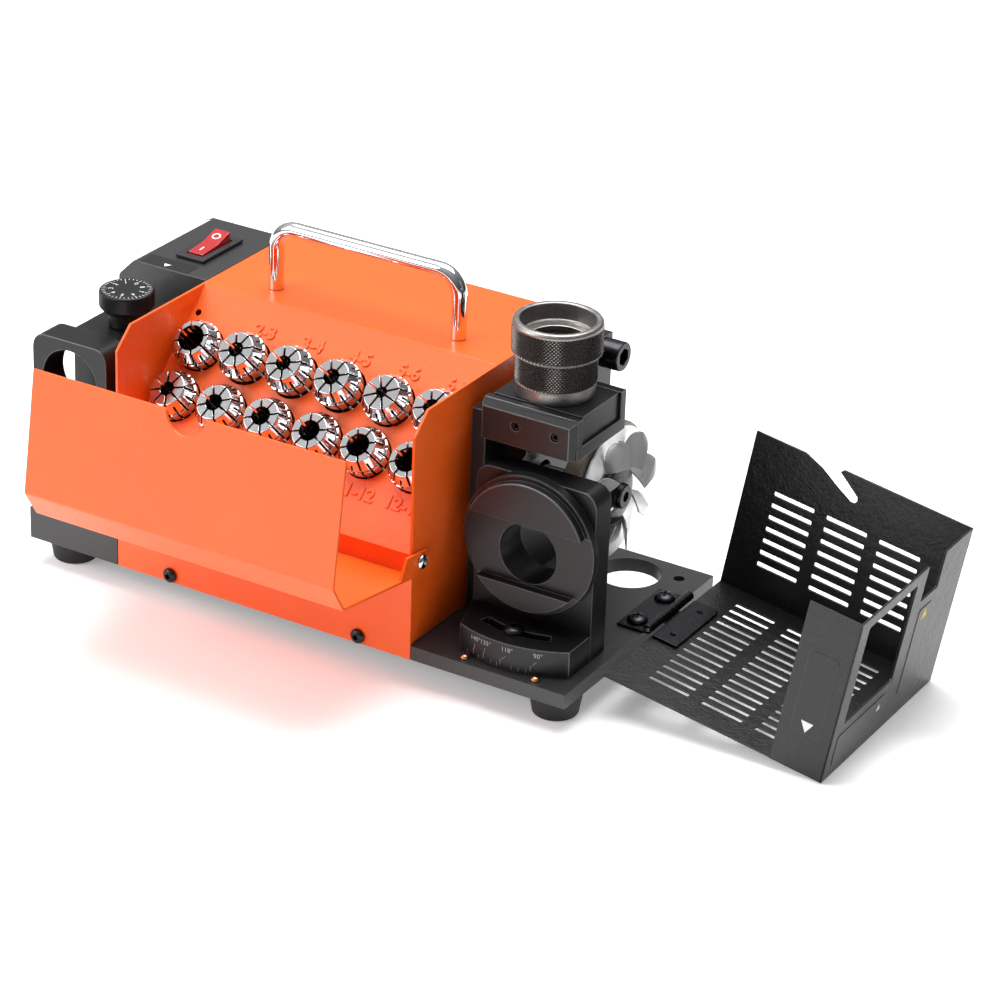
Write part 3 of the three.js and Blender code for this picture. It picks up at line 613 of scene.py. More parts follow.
for row, radii in COLLET_BORES.items():
    for i, radius in enumerate(radii):
        collet = bpy.data.objects.new(f"spring_collet_{row}_{i + 1}", blank.data.copy())
        bpy.context.scene.collection.objects.link(collet)
        bore(collet, radius, 60, sides=48)
        break_edges(collet, 0.12, steps=1, sharper_than=34)
        laid(collet, on_slope(FIRST_COLLET + i * COLLET_PITCH, COLLET_ROWS[row])
             @ Matrix.Translation((0, 0, COLLET_STANDS[row][i] * MM))
             @ Matrix.Rotation(math.radians(COLLET_TURNS[row][i]), 4, "Z"))
        collet.data.materials.append(collet_steel)
        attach(collet, f"collet_{row}_{i + 1}")
        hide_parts(f"collet_{row}_{i + 1}")
bpy.data.objects.remove(blank)


# ---- button-head screws ----
# Low domed screws with a hexagon socket hold the case to the plate, carry the lid and lock the
# angle scale. The lid's two are plated, the others are blackened.
def button_screw(name, head_radius, head_height, shank_radius, shank_length, socket):
    """A domed head with a rounded rim and a hexagon socket, on a plain shank, its head up."""
    dome = [(head_radius * math.cos(a), head_height * (0.22 + 0.78 * math.sin(a)))
            for a in map(math.radians, range(0, 76, 15))]
    screw = turned(name, [
        (shank_radius, -shank_length), (shank_radius, 0), (head_radius * 0.96, 0),
        (head_radius, head_height * 0.08), *dome,
    ], 48)
    bore(screw, socket / math.sqrt(3), head_height, head_height * 0.85)
    break_edges(screw, 0.1, steps=2, sharper_than=40)
    return screw


black_oxide = bright_metal("black_oxide_steel", (0.045, 0.046, 0.05), 0.3, (420, 420, 420), 0.00002)
polished_steel = bright_metal("polished_steel", (0.72, 0.72, 0.72), 0.14, (500, 500, 500), 0.00001)

PIVOT_Y, PIVOT_Z = 5.5, 52.6
PIVOT_FACES = {"left": (-178.7, -1), "right": (2.2, 1)}
for side, (edge, outwards) in PIVOT_FACES.items():
    pivot = button_screw(f"lid_pivot_{side}", 3.8, 2.4, 2.0, 5.0, 2.5)
    stand_at(pivot, at(edge, PIVOT_Y, PIVOT_Z), (outwards, 0, 0))
    pivot.data.materials.append(polished_steel)
    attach(pivot, "base")
    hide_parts(f"lid_pivot_screw_{side}")

FIXINGS_ALONG, FIXING_Y, FIXING_Z = {"left": -143.6, "right": -30.2}, -0.3, 4.2
for side, along in FIXINGS_ALONG.items():
    fixing = button_screw(f"case_fixing_{side}", 3.9, 2.6, 1.9, 1.6, 2.6)
    stand_at(fixing, at(along, FIXING_Y, FIXING_Z), (0, -1, 0))
    fixing.data.materials.append(black_oxide)
    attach(fixing, "base")
    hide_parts(f"case_screw_{side}")


# ---- base plate and feet ----
# The base is a black coated steel plate 8 mm thick, with a round hole behind the wheel for the
# dust and a small one beside it. Its edges are broken before it is coated.
black_coat = powder_coat("black_powder_coat", (0.02, 0.0205, 0.022), 0.42, 760, 0.00035, 0.3)

plate = flattened_copy("base_plate", "machine_plate")
break_edges(plate, 0.4)
plate.data.materials.append(black_coat)
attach(plate, "base")
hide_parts("base_plate")

# Two copper pins stand in the plate's front edge, one at each end of the angle scale. Their
# heads are small domes.
copper = bright_metal("polished_copper", (0.72, 0.33, 0.18), 0.22, (600, 600, 600), 0.00001)
PIN_PLACES = {"left": (28.6, 4.7), "right": (68.3, 4.9)}
for side, place in PIN_PLACES.items():
    dome = [(2.3 * math.cos(a), 8.4 + 1.7 * math.sin(a)) for a in map(math.radians, range(0, 81, 16))]
    pin = turned(f"copper_pin_{side}", [(1.5, 3), (1.5, 8), (2.2, 8), *dome], 32)
    break_edges(pin, 0)
    stand_at(pin, at(*place, 0))
    pin.data.materials.append(copper)
    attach(pin, "base")
    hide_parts(f"stop_pin_{side}")


def moulded(name, colour, roughness, grain, relief, coat=0.0):
    """Moulded rubber or plastic: an even colour with the fine grain of its mould."""
    mould = bpy.data.materials.new(name)
    nodes, links = cleared(mould)
    grain_frame = nodes.new("NodeFrame")
    grain_frame.label = "Grain of the mould"
    spot = nodes.new("ShaderNodeTexCoord")
    spot.label = "Place on the piece"
    grit = nodes.new("ShaderNodeTexNoise")
    grit.label = "Mould grain"
    grit.inputs["Scale"].default_value = grain
    grit.inputs["Detail"].default_value = 4
    bump = nodes.new("ShaderNodeBump")
    bump.label = "Grain relief"
    bump.inputs["Strength"].default_value = 0.25
    bump.inputs["Distance"].default_value = relief
    dull = nodes.new("ShaderNodeMapRange")
    dull.label = "Gloss over the grain"
    dull.inputs["To Min"].default_value = roughness - 0.06
    dull.inputs["To Max"].default_value = roughness + 0.08
    cloud = nodes.new("ShaderNodeTexNoise")
    cloud.label = "Colour flow"
    cloud.inputs["Scale"].default_value = 40
    shade = nodes.new("ShaderNodeValToRGB")
    shade.label = "Shade"
    shade.color_ramp.elements[0].color = (*[c * 0.85 for c in colour], 1)
    shade.color_ramp.elements[1].color = (*colour, 1)
    body = nodes.new("ShaderNodeBsdfPrincipled")
    body.label = "Moulding"
    body.inputs["Coat Weight"].default_value = coat
    body.inputs["Coat Roughness"].default_value = 0.08
    out = nodes.new("ShaderNodeOutputMaterial")
    out.label = "Moulded piece"
    for node in (grit, bump, dull):
        node.parent = grain_frame
    spread(nodes)
    links.new(spot.outputs["Object"], grit.inputs["Vector"])
    links.new(spot.outputs["Object"], cloud.inputs["Vector"])
    links.new(grit.outputs["Fac"], bump.inputs["Height"])
    links.new(grit.outputs["Fac"], dull.inputs["Value"])
    links.new(cloud.outputs["Fac"], shade.inputs["Fac"])
    links.new(shade.outputs["Color"], body.inputs["Base Color"])
    links.new(dull.outputs["Result"], body.inputs["Roughness"])
    links.new(bump.outputs["Normal"], body.inputs["Normal"])
    links.new(body.outputs["BSDF"], out.inputs["Surface"])
    return mould


# Four moulded rubber feet lift the plate 14 mm off the bench. Each tapers to a flat tread with a
# rounded rim and a shallow hollow for its screw.
rubber = moulded("foot_rubber", (0.007, 0.007, 0.0078), 0.6, 900, 0.0001)
FOOT_NODES = ("foot_front_left", "foot_back_left", "foot_front_right", "foot_back_right")
for node in FOOT_NODES:
    foot_low, foot_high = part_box(node)
    top = (foot_high.z - foot_low.z) / MM
    rubber_foot = turned(f"rubber_{node}", [
        (4, 4), (4, 0), (10.2, 0), (11.1, 0.4), (11.6, 1.2), (12.6, 7), (13.4, top - 2.2),
        (13.5, top - 0.6), (13.1, top),
    ], 56)
    break_edges(rubber_foot, 0.2)
    middle = (foot_low + foot_high) / 2
    stand_at(rubber_foot, (middle.x, middle.y, foot_low.z))
    rubber_foot.data.materials.append(rubber)
    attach(rubber_foot, "base")
    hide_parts(node)


# ---- control housing and front box ----
# The switch housing is a folded black coated box behind the setting station, with a sloped
# shoulder along its left side. The box under the setting block is folded from the same sheet.
for node, name, bend, edge in (("control_housing", "switch_housing", 1.6, 0.6),
                               ("front_box", "setting_box", 0.8, SHEET_EDGE)):
    housing = flattened_copy(node, name)
    round_bends(housing, bend)
    break_edges(housing, edge, steps=3)
    housing.data.materials.append(black_coat)
    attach(housing, "base")
    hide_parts(node)

# A thin name plate is stuck along the housing's front edge. It has a white triangle that points
# at the dial and no words.
label_film = moulded("label_film", (0.009, 0.009, 0.0095), 0.34, 1500, 0.00002)
white_print = moulded("white_print", (0.8, 0.8, 0.79), 0.5, 1200, 0.00002)
HOUSING_TOP, HOUSING_FRONT = 130.6, 79


def thin_plate(name, width, height, thick, corner_radius):
    """A flat plate about the origin with rounded corners, its face up."""
    bpy.ops.object.select_all(action="DESELECT")
    bpy.ops.mesh.primitive_plane_add(size=1)
    piece = bpy.context.object
    piece.name = name
    piece.scale = (width * MM, height * MM, 1)
    bpy.ops.object.transform_apply()
    bpy.ops.object.mode_set(mode="EDIT")
    bpy.ops.mesh.select_all(action="SELECT")
    bpy.ops.mesh.bevel(offset=corner_radius * MM, segments=4, affect="VERTICES")
    bpy.ops.mesh.select_all(action="SELECT")
    bpy.ops.mesh.extrude_region_move(TRANSFORM_OT_translate={"value": (0, 0, thick * MM)})
    bpy.ops.mesh.select_all(action="SELECT")
    bpy.ops.mesh.normals_make_consistent(inside=False)
    bpy.ops.object.mode_set(mode="OBJECT")
    return piece


def arrow(name, width, height, thick):
    """A small solid triangle about the origin that points along its own Y."""
    bpy.ops.object.select_all(action="DESELECT")
    bpy.ops.mesh.primitive_cylinder_add(vertices=3, radius=1, depth=1)
    piece = bpy.context.object
    piece.name = name
    piece.scale = (width / math.sqrt(3) * MM, height / 1.5 * MM, thick * MM)
    bpy.ops.object.transform_apply()
    return piece


LABEL_X = -204.6
strip = laid(thin_plate("dial_label", 30, 10.6, 0.18, 0.6),
             Matrix.Translation(at(LABEL_X, HOUSING_FRONT + 6.4, HOUSING_TOP - 0.02)))
break_edges(strip, 0.04, steps=1)
strip.data.materials.append(label_film)
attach(strip, "base")
pointer = laid(arrow("dial_pointer", 4.6, 3.4, 0.06),
               Matrix.Translation(at(LABEL_X, HOUSING_FRONT + 4.2, HOUSING_TOP + 0.18))
               @ Matrix.Rotation(math.pi, 4, "Z"))
pointer.data.materials.append(white_print)
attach(pointer, "base")

# Inside the housing a green circuit board carries the speed control: a coil, a fuse holder and
# a capacitor, none of which shows from outside.
board = flattened_copy("control_board", "speed_board")
break_edges(board, 0.3)
board.data.materials.append(moulded("circuit_board", (0.02, 0.17, 0.06), 0.45, 700, 0.00004))
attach(board, "base")
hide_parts("control_board")

# The mains rocker is red and glossy in a black bezel. Its top is dished and its far end stands
# high, which is off. The marks are moulded white.
black_plastic = moulded("black_plastic", (0.018, 0.018, 0.02), 0.5, 1100, 0.00006)
red_plastic = moulded("red_plastic", (0.44, 0.006, 0.012), 0.2, 300, 0.00001, coat=0.6)
bezel = flattened_copy("switch_body", "switch_bezel")
break_edges(bezel, 0.45, steps=3)
bezel.data.materials.append(black_plastic)
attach(bezel, "base")
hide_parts("switch_body")

rocker = flattened_copy("switch_rocker", "rocker_key")
round_bends(rocker, 2.6, low=3, high=40, longer_than=5 * MM, steps=8)
break_edges(rocker, 0.35, steps=3, sharper_than=40)
rocker.data.materials.append(red_plastic)
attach(rocker, "rocker")
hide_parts("switch_rocker")

ROCKER_X = -198.8
KEY_MARKS = {"circle": (119.4, 5.32, 16.3), "line": (106.2, 2.88, 4.6)}
marks = []
for shape, (along, rise, tilt) in KEY_MARKS.items():
    spot_on_key = (Matrix.Translation(at(ROCKER_X, along, HOUSING_TOP + rise))
                   @ Matrix.Rotation(math.radians(tilt), 4, "X"))
    if shape == "circle":
        mark = turned("mark", [(1.65, -0.3), (1.65, 0.14), (2.45, 0.14), (2.45, -0.3), (1.65, -0.3)], 40)
    else:
        mark = block((-0.4, -2, -0.3), (0.4, 2, 0.14))
    marks.append(laid(mark, spot_on_key))
key_marks = joined("rocker_marks", marks)
key_marks.data.materials.append(white_print)
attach(key_marks, "rocker")


# ---- drill setting station ----
# The setting block is milled from aluminium and black anodised: a front plate with a large bore,
# an arm to the back and a rear wall. Its corners are rounded, and its broken edges carry a painted
# highlight.
def anodised(name, colour, roughness):
    """Black anodised aluminium: a thin dark film over milled metal, satin and very even."""
    film = bpy.data.materials.new(name)
    nodes, links = cleared(film)
    mill_frame = nodes.new("NodeFrame")
    mill_frame.label = "Milling marks under the film"
    spot = nodes.new("ShaderNodeTexCoord")
    spot.label = "Place on the piece"
    feed = nodes.new("ShaderNodeMapping")
    feed.label = "Feed of the cutter"
    feed.inputs["Scale"].default_value = (70, 500, 900)
    lines = nodes.new("ShaderNodeTexNoise")
    lines.label = "Milling lines"
    lines.inputs["Scale"].default_value = 1
    lines.inputs["Detail"].default_value = 4
    relief = nodes.new("ShaderNodeBump")
    relief.label = "Depth of the lines"
    relief.inputs["Strength"].default_value = 0.16
    relief.inputs["Distance"].default_value = 0.00002
    satin = nodes.new("ShaderNodeMapRange")
    satin.label = "Satin between the lines"
    satin.inputs["To Min"].default_value = roughness - 0.05
    satin.inputs["To Max"].default_value = roughness + 0.08
    dust = nodes.new("ShaderNodeTexNoise")
    dust.label = "Fine bloom of the film"
    dust.inputs["Scale"].default_value = 900
    dust.inputs["Detail"].default_value = 5
    depth = nodes.new("ShaderNodeValToRGB")
    depth.label = "Depth of the dye"
    depth.color_ramp.elements[0].position = 0.35
    depth.color_ramp.elements[0].color = (*[c * 0.8 for c in colour], 1)
    depth.color_ramp.elements[1].position = 0.7
    depth.color_ramp.elements[1].color = (*[c * 1.25 for c in colour], 1)
    surface = nodes.new("ShaderNodeBsdfPrincipled")
    surface.label = "Anodised film"
    surface.inputs["Metallic"].default_value = 0.15
    surface.inputs["Specular IOR Level"].default_value = 0.5
    out = nodes.new("ShaderNodeOutputMaterial")
    out.label = "Anodised piece"
    for node in (feed, lines, relief, satin):
        node.parent = mill_frame
    spread(nodes)
    links.new(spot.outputs["Object"], feed.inputs["Vector"])
    links.new(spot.outputs["Object"], dust.inputs["Vector"])
    links.new(feed.outputs["Vector"], lines.inputs["Vector"])
    links.new(lines.outputs["Fac"], relief.inputs["Height"])
    links.new(lines.outputs["Fac"], satin.inputs["Value"])
    links.new(dust.outputs["Fac"], depth.inputs["Fac"])
    links.new(depth.outputs["Color"], surface.inputs["Base Color"])
    links.new(satin.outputs["Result"], surface.inputs["Roughness"])
    links.new(relief.outputs["Normal"], surface.inputs["Normal"])
    links.new(surface.outputs["BSDF"], out.inputs["Surface"])
    return film


black_film = anodised("black_anodised", (0.0062, 0.0064, 0.0072), 0.35)
# The paler edge film is a painted highlight along the broken edges of the anodised parts.
painted_edge_highlight = anodised("painted_edge_highlight", (0.085, 0.085, 0.09), 0.3)


def finish_milled(piece, width, steps=2, sharper_than=30):
    """Anodised faces, with broken edges that carry a paler copy of the film as a painted highlight."""
    piece.data.materials.append(black_film)
    piece.data.materials.append(painted_edge_highlight)
    break_edges(piece, width, steps, sharper_than, edge_finish=1)


setter = flattened_copy("setting_block", "setter_block")
finish_milled(setter, 0.45, steps=3)
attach(setter, "base")
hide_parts("setting_block")

# The dial sets the drill's web thickness. It is a turned and blackened knob with a diamond
# knurl between two plain edges. Its flat top has a ring of white lines and figures.
DIAL_X, DIAL_Y, DIAL_TOP, DIAL_RADIUS = -198.8, 40.5, 133.8, 14.3
DIAL_BAND, DIAL_SIDES, DIAL_STEP, DIAL_DEPTH = (125.6, 132.6), 120, 0.7, 0.42


def knurled_band(radius, low, high, step):
    """The profile points of a band that is to be knurled, one for every half diamond."""
    rings = round((high - low) / step)
    return [(radius, low + (high - low) * i / rings) for i in range(rings + 1)]


def press_knurl(piece, radius, low, high, step, sides, depth):
    """Presses diamonds into a band: every other point stays up, and the rest sink and are joined."""
    rings = round((high - low) / step)
    rise = (high - low) / rings
    pick(piece)
    bpy.ops.object.mode_set(mode="EDIT")
    mesh = bmesh.from_edit_mesh(piece.data)
    sunk = []
    for vertex in mesh.verts:
        spot_radius = math.hypot(vertex.co.x, vertex.co.y) / MM
        ring = round((vertex.co.z / MM - low) / rise)
        inside = 0 <= ring <= rings and abs(vertex.co.z / MM - low - ring * rise) < 0.01
        column = round(math.atan2(vertex.co.y, vertex.co.x) / (2 * math.pi / sides))
        if inside and abs(spot_radius - radius) < 0.02 and (ring + column) % 2 == 1:
            vertex.co.x *= (radius - depth) / radius
            vertex.co.y *= (radius - depth) / radius
            sunk.append(vertex)
    bmesh.ops.connect_verts(mesh, verts=sunk)
    bmesh.update_edit_mesh(piece.data)
    bpy.ops.object.mode_set(mode="OBJECT")


dial_knob = turned("web_dial", [
    (6, 90), (6, 114.8), (9.1, 114.8), (9.4, 115.1), (9.4, 122.2), (9.6, 122.5), (12, 122.6),
    *knurled_band(DIAL_RADIUS, *DIAL_BAND, DIAL_STEP), (13.8, 133.5), (13.4, DIAL_TOP),
], DIAL_SIDES)
press_knurl(dial_knob, DIAL_RADIUS, *DIAL_BAND, DIAL_STEP, DIAL_SIDES, DIAL_DEPTH)
break_edges(dial_knob, 0, sharper_than=25)
stand_at(dial_knob, at(DIAL_X, DIAL_Y, 0))
dial_knob.data.materials.append(black_film)
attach(dial_knob, "dial")
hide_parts("setting_dial")

DIAL_LINES, LONG_EVERY, LINES_OUT, FIGURES_OUT = 36, 4, 12.9, 8.0
dial_marks = []
for i in range(DIAL_LINES):
    facing = (Matrix.Translation(at(DIAL_X, DIAL_Y, DIAL_TOP))
              @ Matrix.Rotation(2 * math.pi * i / DIAL_LINES, 4, "Z"))
    length = 2.8 if i % LONG_EVERY == 0 else 1.7
    dial_marks.append(laid(block((-0.14, LINES_OUT - length, -0.2), (0.14, LINES_OUT, 0.05)), facing))
    if i % LONG_EVERY == 0:
        figure_place = facing @ Matrix.Translation((0, FIGURES_OUT * MM, 0))
        dial_marks.append(raised_figures("figure", str(i // LONG_EVERY), 3.7, 0.05, figure_place))
dial_scale = joined("dial_scale", dial_marks)
dial_scale.data.materials.append(white_print)
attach(dial_scale, "dial")

# A flat-headed screw in the block's side clamps the setting stop.
CLAMP_PLACE = (-229.9, 10, 56)
clamp = turned("setter_clamp", [(4.2, 0), (4.6, 0.3), (4.6, 2.2), (4.2, 2.9), (3.6, 3)], 48)
bore(clamp, 1.9, 3, 2.9)
break_edges(clamp, 0.1, sharper_than=40)
stand_at(clamp, at(*CLAMP_PLACE), (-1, 0, 0))
clamp.data.materials.append(black_oxide)
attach(clamp, "base")
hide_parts("setting_clamp_screw")


# ---- motor, wheel and fan ----
# The motor lies along the case behind the collets. Its shaft passes through a black end plate
# and carries the grinding wheel, a bladed fan that blows the dust down, and the nut.
WHEEL_Y, WHEEL_Z = 107, 62
motor_enamel = powder_coat("motor_enamel", (0.05, 0.052, 0.058), 0.45, 900, 0.0002, 0.2)
shell = flattened_copy("motor", "motor_shell")
break_edges(shell, 1.0, steps=3, sharper_than=50)
shell.data.materials.append(motor_enamel)
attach(shell, "base")
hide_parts("motor")

end_plate = flattened_copy("motor_plate", "motor_end_plate")
finish_milled(end_plate, 0.5)
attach(end_plate, "base")
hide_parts("motor_plate")

shaft = turned("wheel_shaft", [(4.7, 2.4), (5, 2.7), (5, 53.7), (4.7, 54)], 40)
break_edges(shaft, 0)
stand_at(shaft, at(0, WHEEL_Y, WHEEL_Z), (1, 0, 0))
shaft.data.materials.append(polished_steel)
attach(shaft, "rotor")
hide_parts("spindle")

# The wheel is an aluminium cup with diamond grit plated on its rim, which gives the rim a dull
# gold sparkle.
grit = bpy.data.materials.new("diamond_grit")
nodes, links = cleared(grit)
grain_frame = nodes.new("NodeFrame")
grain_frame.label = "Diamond grains in the plating"
spot = nodes.new("ShaderNodeTexCoord")
spot.label = "Place on the wheel"
grains = nodes.new("ShaderNodeTexVoronoi")
grains.label = "Grains"
grains.inputs["Scale"].default_value = 1600
grain_colour = nodes.new("ShaderNodeValToRGB")
grain_colour.label = "Plating and grains"
grain_colour.color_ramp.elements[0].color = (0.34, 0.31, 0.26, 1)
grain_colour.color_ramp.elements[1].color = (0.13, 0.115, 0.09, 1)
grain_height = nodes.new("ShaderNodeBump")
grain_height.label = "Grains stand up"
grain_height.inputs["Strength"].default_value = 0.7
grain_height.inputs["Distance"].default_value = 0.0001
plating = nodes.new("ShaderNodeBsdfPrincipled")
plating.label = "Plated grit"
plating.inputs["Metallic"].default_value = 0.75
plating.inputs["Roughness"].default_value = 0.42
out = nodes.new("ShaderNodeOutputMaterial")
out.label = "Wheel rim"
for node in (grains, grain_colour, grain_height):
    node.parent = grain_frame
spread(nodes)
links.new(spot.outputs["Object"], grains.inputs["Vector"])
links.new(grains.outputs["Distance"], grain_colour.inputs["Fac"])
links.new(grains.outputs["Distance"], grain_height.inputs["Height"])
links.new(grain_colour.outputs["Color"], plating.inputs["Base Color"])
links.new(grain_height.outputs["Normal"], plating.inputs["Normal"])
links.new(plating.outputs["BSDF"], out.inputs["Surface"])

wheel = turned("diamond_wheel", [
    (5.3, 37), (26, 37), (29, 39), (36.6, 39), (37, 39.4), (37, 48), (34, 49.5), (5.3, 49.5), (5.3, 37),
], 96)
break_edges(wheel, 0.2)
stand_at(wheel, at(0, WHEEL_Y, WHEEL_Z), (1, 0, 0))
wheel.data.materials.append(grit)
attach(wheel, "rotor")
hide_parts("grinding_wheel")

# The fan is pressed from thin aluminium: a flat disc with eight blades that stand off it, each
# round at its tip, bellied and twisted. The metal is brushed.
BLADES, BLADE_ROOT, BLADE_TIP, BLADE_WIDE, BLADE_RISE = 8, 15.5, 33.4, 14, 55.2
ROOT_TWIST, UNTWIST, FLATTEN, BELLY, ROUND_FROM = 46, 14, 0.92, 0.9, 0.45
brushed_aluminium = bright_metal("brushed_aluminium", (0.8, 0.805, 0.81), 0.42, (900, 160, 160), 0.000003)

fan_parts = [turned("fan", [(5.4, 49.85), (35, 49.85), (35, 50.75), (5.4, 50.75), (5.4, 49.85)], 72)]
for i in range(BLADES):
    bpy.ops.object.select_all(action="DESELECT")
    bpy.ops.mesh.primitive_grid_add(x_subdivisions=16, y_subdivisions=20, size=2)
    blade = bpy.context.object
    for vertex in blade.data.vertices:
        across, out_by = vertex.co.x, (vertex.co.y + 1) / 2
        past_round = max(out_by - ROUND_FROM, 0) / (1.01 - ROUND_FROM)
        width = BLADE_WIDE / 2 * math.sqrt(max(1 - past_round ** 2, 0.02))
        twist = math.radians(ROOT_TWIST - UNTWIST * out_by)
        vertex.co = Vector((
            across * width * math.cos(twist),
            BLADE_ROOT + (BLADE_TIP - BLADE_ROOT) * out_by,
            across * width * math.sin(twist) * FLATTEN + BLADE_RISE + BELLY * (1 - across * across))) * MM
    wall = blade.modifiers.new("sheet", "SOLIDIFY")
    wall.thickness = 0.7 * MM
    wall.offset = 0
    bpy.ops.object.modifier_apply(modifier=wall.name)
    fan_parts.append(laid(blade, Matrix.Rotation(2 * math.pi * (i + 0.3) / BLADES, 4, "Z")))
fan = joined("blower_fan", fan_parts)
break_edges(fan, 0, sharper_than=40)
stand_at(fan, at(0, WHEEL_Y, WHEEL_Z), (1, 0, 0))
fan.data.materials.append(brushed_aluminium)
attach(fan, "rotor")
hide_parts("fan_disc")

nut = turned("fan_nut", [
    (5.3, 51.2), (15.2, 51.2), (16, 52), (15.4, 53.2), (13.6, 54), (7.4, 54.8), (6.5, 55.4), (6.5, 57.3),
    (5.8, 58), (0.4, 58),
], 64)
bore(nut, 2.9, 3, 57.6)
bore(nut, 5.3, 6.4, 51.2, sides=40)
break_edges(nut, 0.15, sharper_than=36)
stand_at(nut, at(0, WHEEL_Y, WHEEL_Z), (1, 0, 0))
nut.data.materials.append(black_oxide)
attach(nut, "rotor")
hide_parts("hub_nut")


# ---- point angle station ----
# A thick anodised foot with a curved front turns on the plate under its arc slot, and carries
# an upright plate with a large round-edged opening. Both are milled, and their broken edges carry a
# painted highlight.
for node, name, width in (("swivel_base", "angle_foot", 0.4), ("swivel_bracket", "angle_upright", 0.45)):
    milled = flattened_copy(node, name)
    finish_milled(milled, width)
    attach(milled, "swivel")
    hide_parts(node)

# The chuck disc turns in the upright. It has a flange, a broad cross groove for the drill
# holder's lugs, and a bore that lets the drill reach the wheel.
DISC_X, DISC_Z, BORE_DROP, GROOVE_HALF = 47.5, 64.6, -4.6, 16.9
disc = turned("chuck_disc", [
    (24, -49.3), (24, -34.5), (36.2, -34.5), (36.4, -34.3), (36.4, -29.2), (36.2, -29), (33.7, -29),
    (33.7, -24.8), (33.3, -24.4),
], 96)
bpy.ops.object.select_all(action="DESELECT")
bpy.ops.mesh.primitive_cylinder_add(vertices=72, radius=16 * MM, depth=0.06,
                                    location=(0, BORE_DROP * MM, -36 * MM))
drill_way = bpy.context.object
groove = block((-40, BORE_DROP - GROOVE_HALF, -29.4), (40, BORE_DROP + GROOVE_HALF, -20))
cut_away(disc, drill_way, groove)
finish_milled(disc, 0.28, sharper_than=35)
laid(disc, Matrix.Translation(at(DISC_X, 0, DISC_Z)) @ Matrix.Rotation(math.pi / 2, 4, "X"))
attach(disc, "disc")
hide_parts("angle_disc")

LOCK_Y, FOOT_TOP = 18.5, 22.6
lock = button_screw("angle_lock", 5.2, 3.2, 2.2, 20.5, 3)
stand_at(lock, at(DISC_X, LOCK_Y, FOOT_TOP))
lock.data.materials.append(black_oxide)
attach(lock, "base")
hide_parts("angle_lock_screw")

# The foot's curved front is engraved with the point angles, each with a leader down to its
# line at the lower edge. The engraving is filled pale grey.
SWIVEL_X, SWIVEL_Y, SCALE_RADIUS, SCALE_FOOT, SCALE_TOP = 47.5, 68, 62.74, 8.1, 22.3
POINT_ANGLES = {"140": -13.5, "135": -7.5, "118": 3.8, "90": 18.4}
SHORT_LINES = (-18.5, -11.5, -4.4, -1.2, 6.2, 9.5, 13.0)
grey_print = moulded("engraved_grey", (0.42, 0.42, 0.42), 0.5, 1200, 0.00002)


def on_scale(turn, height):
    """The matrix that stands a mark on the foot's curved front, facing out."""
    a = math.radians(turn - 90)
    out = Vector((math.cos(a), math.sin(a), 0))
    axes = Matrix((Vector((-out.y, out.x, 0)), Vector((0, 0, 1)), out)).transposed().to_4x4()
    return Matrix.Translation(at(SWIVEL_X, SWIVEL_Y, height) + out * SCALE_RADIUS * MM) @ axes


scale_marks = []
for figure, turn in POINT_ANGLES.items():
    scale_marks.append(raised_figures("mark", figure + "°", 3.5, 0.02, on_scale(turn, SCALE_TOP - 3.4)))
    lean, slant = (3.0, -0.75) if turn > -5 else (1.0, -0.2)
    leader = block((-0.07, -1.6, -0.2), (0.07, 1.6, 0.03))
    scale_marks.append(laid(leader, on_scale(turn - lean * 0.55, SCALE_FOOT + 6.3)
                            @ Matrix.Rotation(slant, 4, "Z")))
    line = block((-0.07, -1.4, -0.2), (0.07, 1.4, 0.03))
    scale_marks.append(laid(line, on_scale(turn - lean * 1.1, SCALE_FOOT + 3.6)))
for turn in SHORT_LINES:
    line = block((-0.06, -1.1, -0.2), (0.06, 1.1, 0.03))
    scale_marks.append(laid(line, on_scale(turn, SCALE_FOOT + 2.0)))
angle_scale = joined("point_angle_scale", scale_marks)
angle_scale.data.materials.append(grey_print)
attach(angle_scale, "swivel")


# ---- web thinning station ----
# A milled way stands on a bracket over the wheel. A jaw on its front, held by two socket
# screws, keeps the slide in the way, and the sleeve's collar stands in the slide.
THINNING_PARTS = {
    "web_way": ("thinning_way", "base", 0.4),
    "web_bracket": ("thinning_bracket", "base", 0.4),
    "web_jaw": ("thinning_jaw", "base", 0.35),
    "web_slide": ("thinning_slide", "slide", 0.3),
}
for node, (name, body, width) in THINNING_PARTS.items():
    milled = flattened_copy(node, name)
    finish_milled(milled, width)
    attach(milled, body)
    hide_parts(node)

JAW_SCREWS_ALONG, JAW_SCREW_Z = {"left": 31.6, "right": 53.6}, 119.5
for side, along in JAW_SCREWS_ALONG.items():
    jaw_screw = turned(f"jaw_set_{side}", [(1.9, -47.4), (2.2, -47.1), (2.2, -40.9), (1.9, -40.6)], 36)
    bore(jaw_screw, 1.25, 5, -40.6)
    break_edges(jaw_screw, 0.08, sharper_than=40)
    laid(jaw_screw, Matrix.Translation(at(along, 0, JAW_SCREW_Z)) @ Matrix.Rotation(math.pi / 2, 4, "X"))
    jaw_screw.data.materials.append(black_oxide)
    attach(jaw_screw, "base")
    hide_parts(f"jaw_screw_{side}")

# The collar and the sleeve are turned from steel, knurled for the fingers and blackened to a
# warm grey. The collar has two flats below its knurl, and the sleeve turns on its neck.
SLEEVE_X, SLEEVE_Y, KNURL_STEP, KNURL_SIDES, KNURL_DEPTH = 36.5, 69, 0.95, 148, 0.62
COLLAR_BAND, SLEEVE_BAND = (20.3, 136.2, 149.6), (22.5, 151.7, 164.8)
warm_grey_steel = bright_metal("warm_grey_steel", (0.125, 0.115, 0.107), 0.27, (300, 300, 1400), 0.000006)
# The paler copy of the steel on the plain turned faces is a painted highlight.
rim_steel_painted_highlight = bright_metal("grey_steel_painted_highlight", (0.36, 0.34, 0.325), 0.38, (300, 300, 1400), 0.000008)


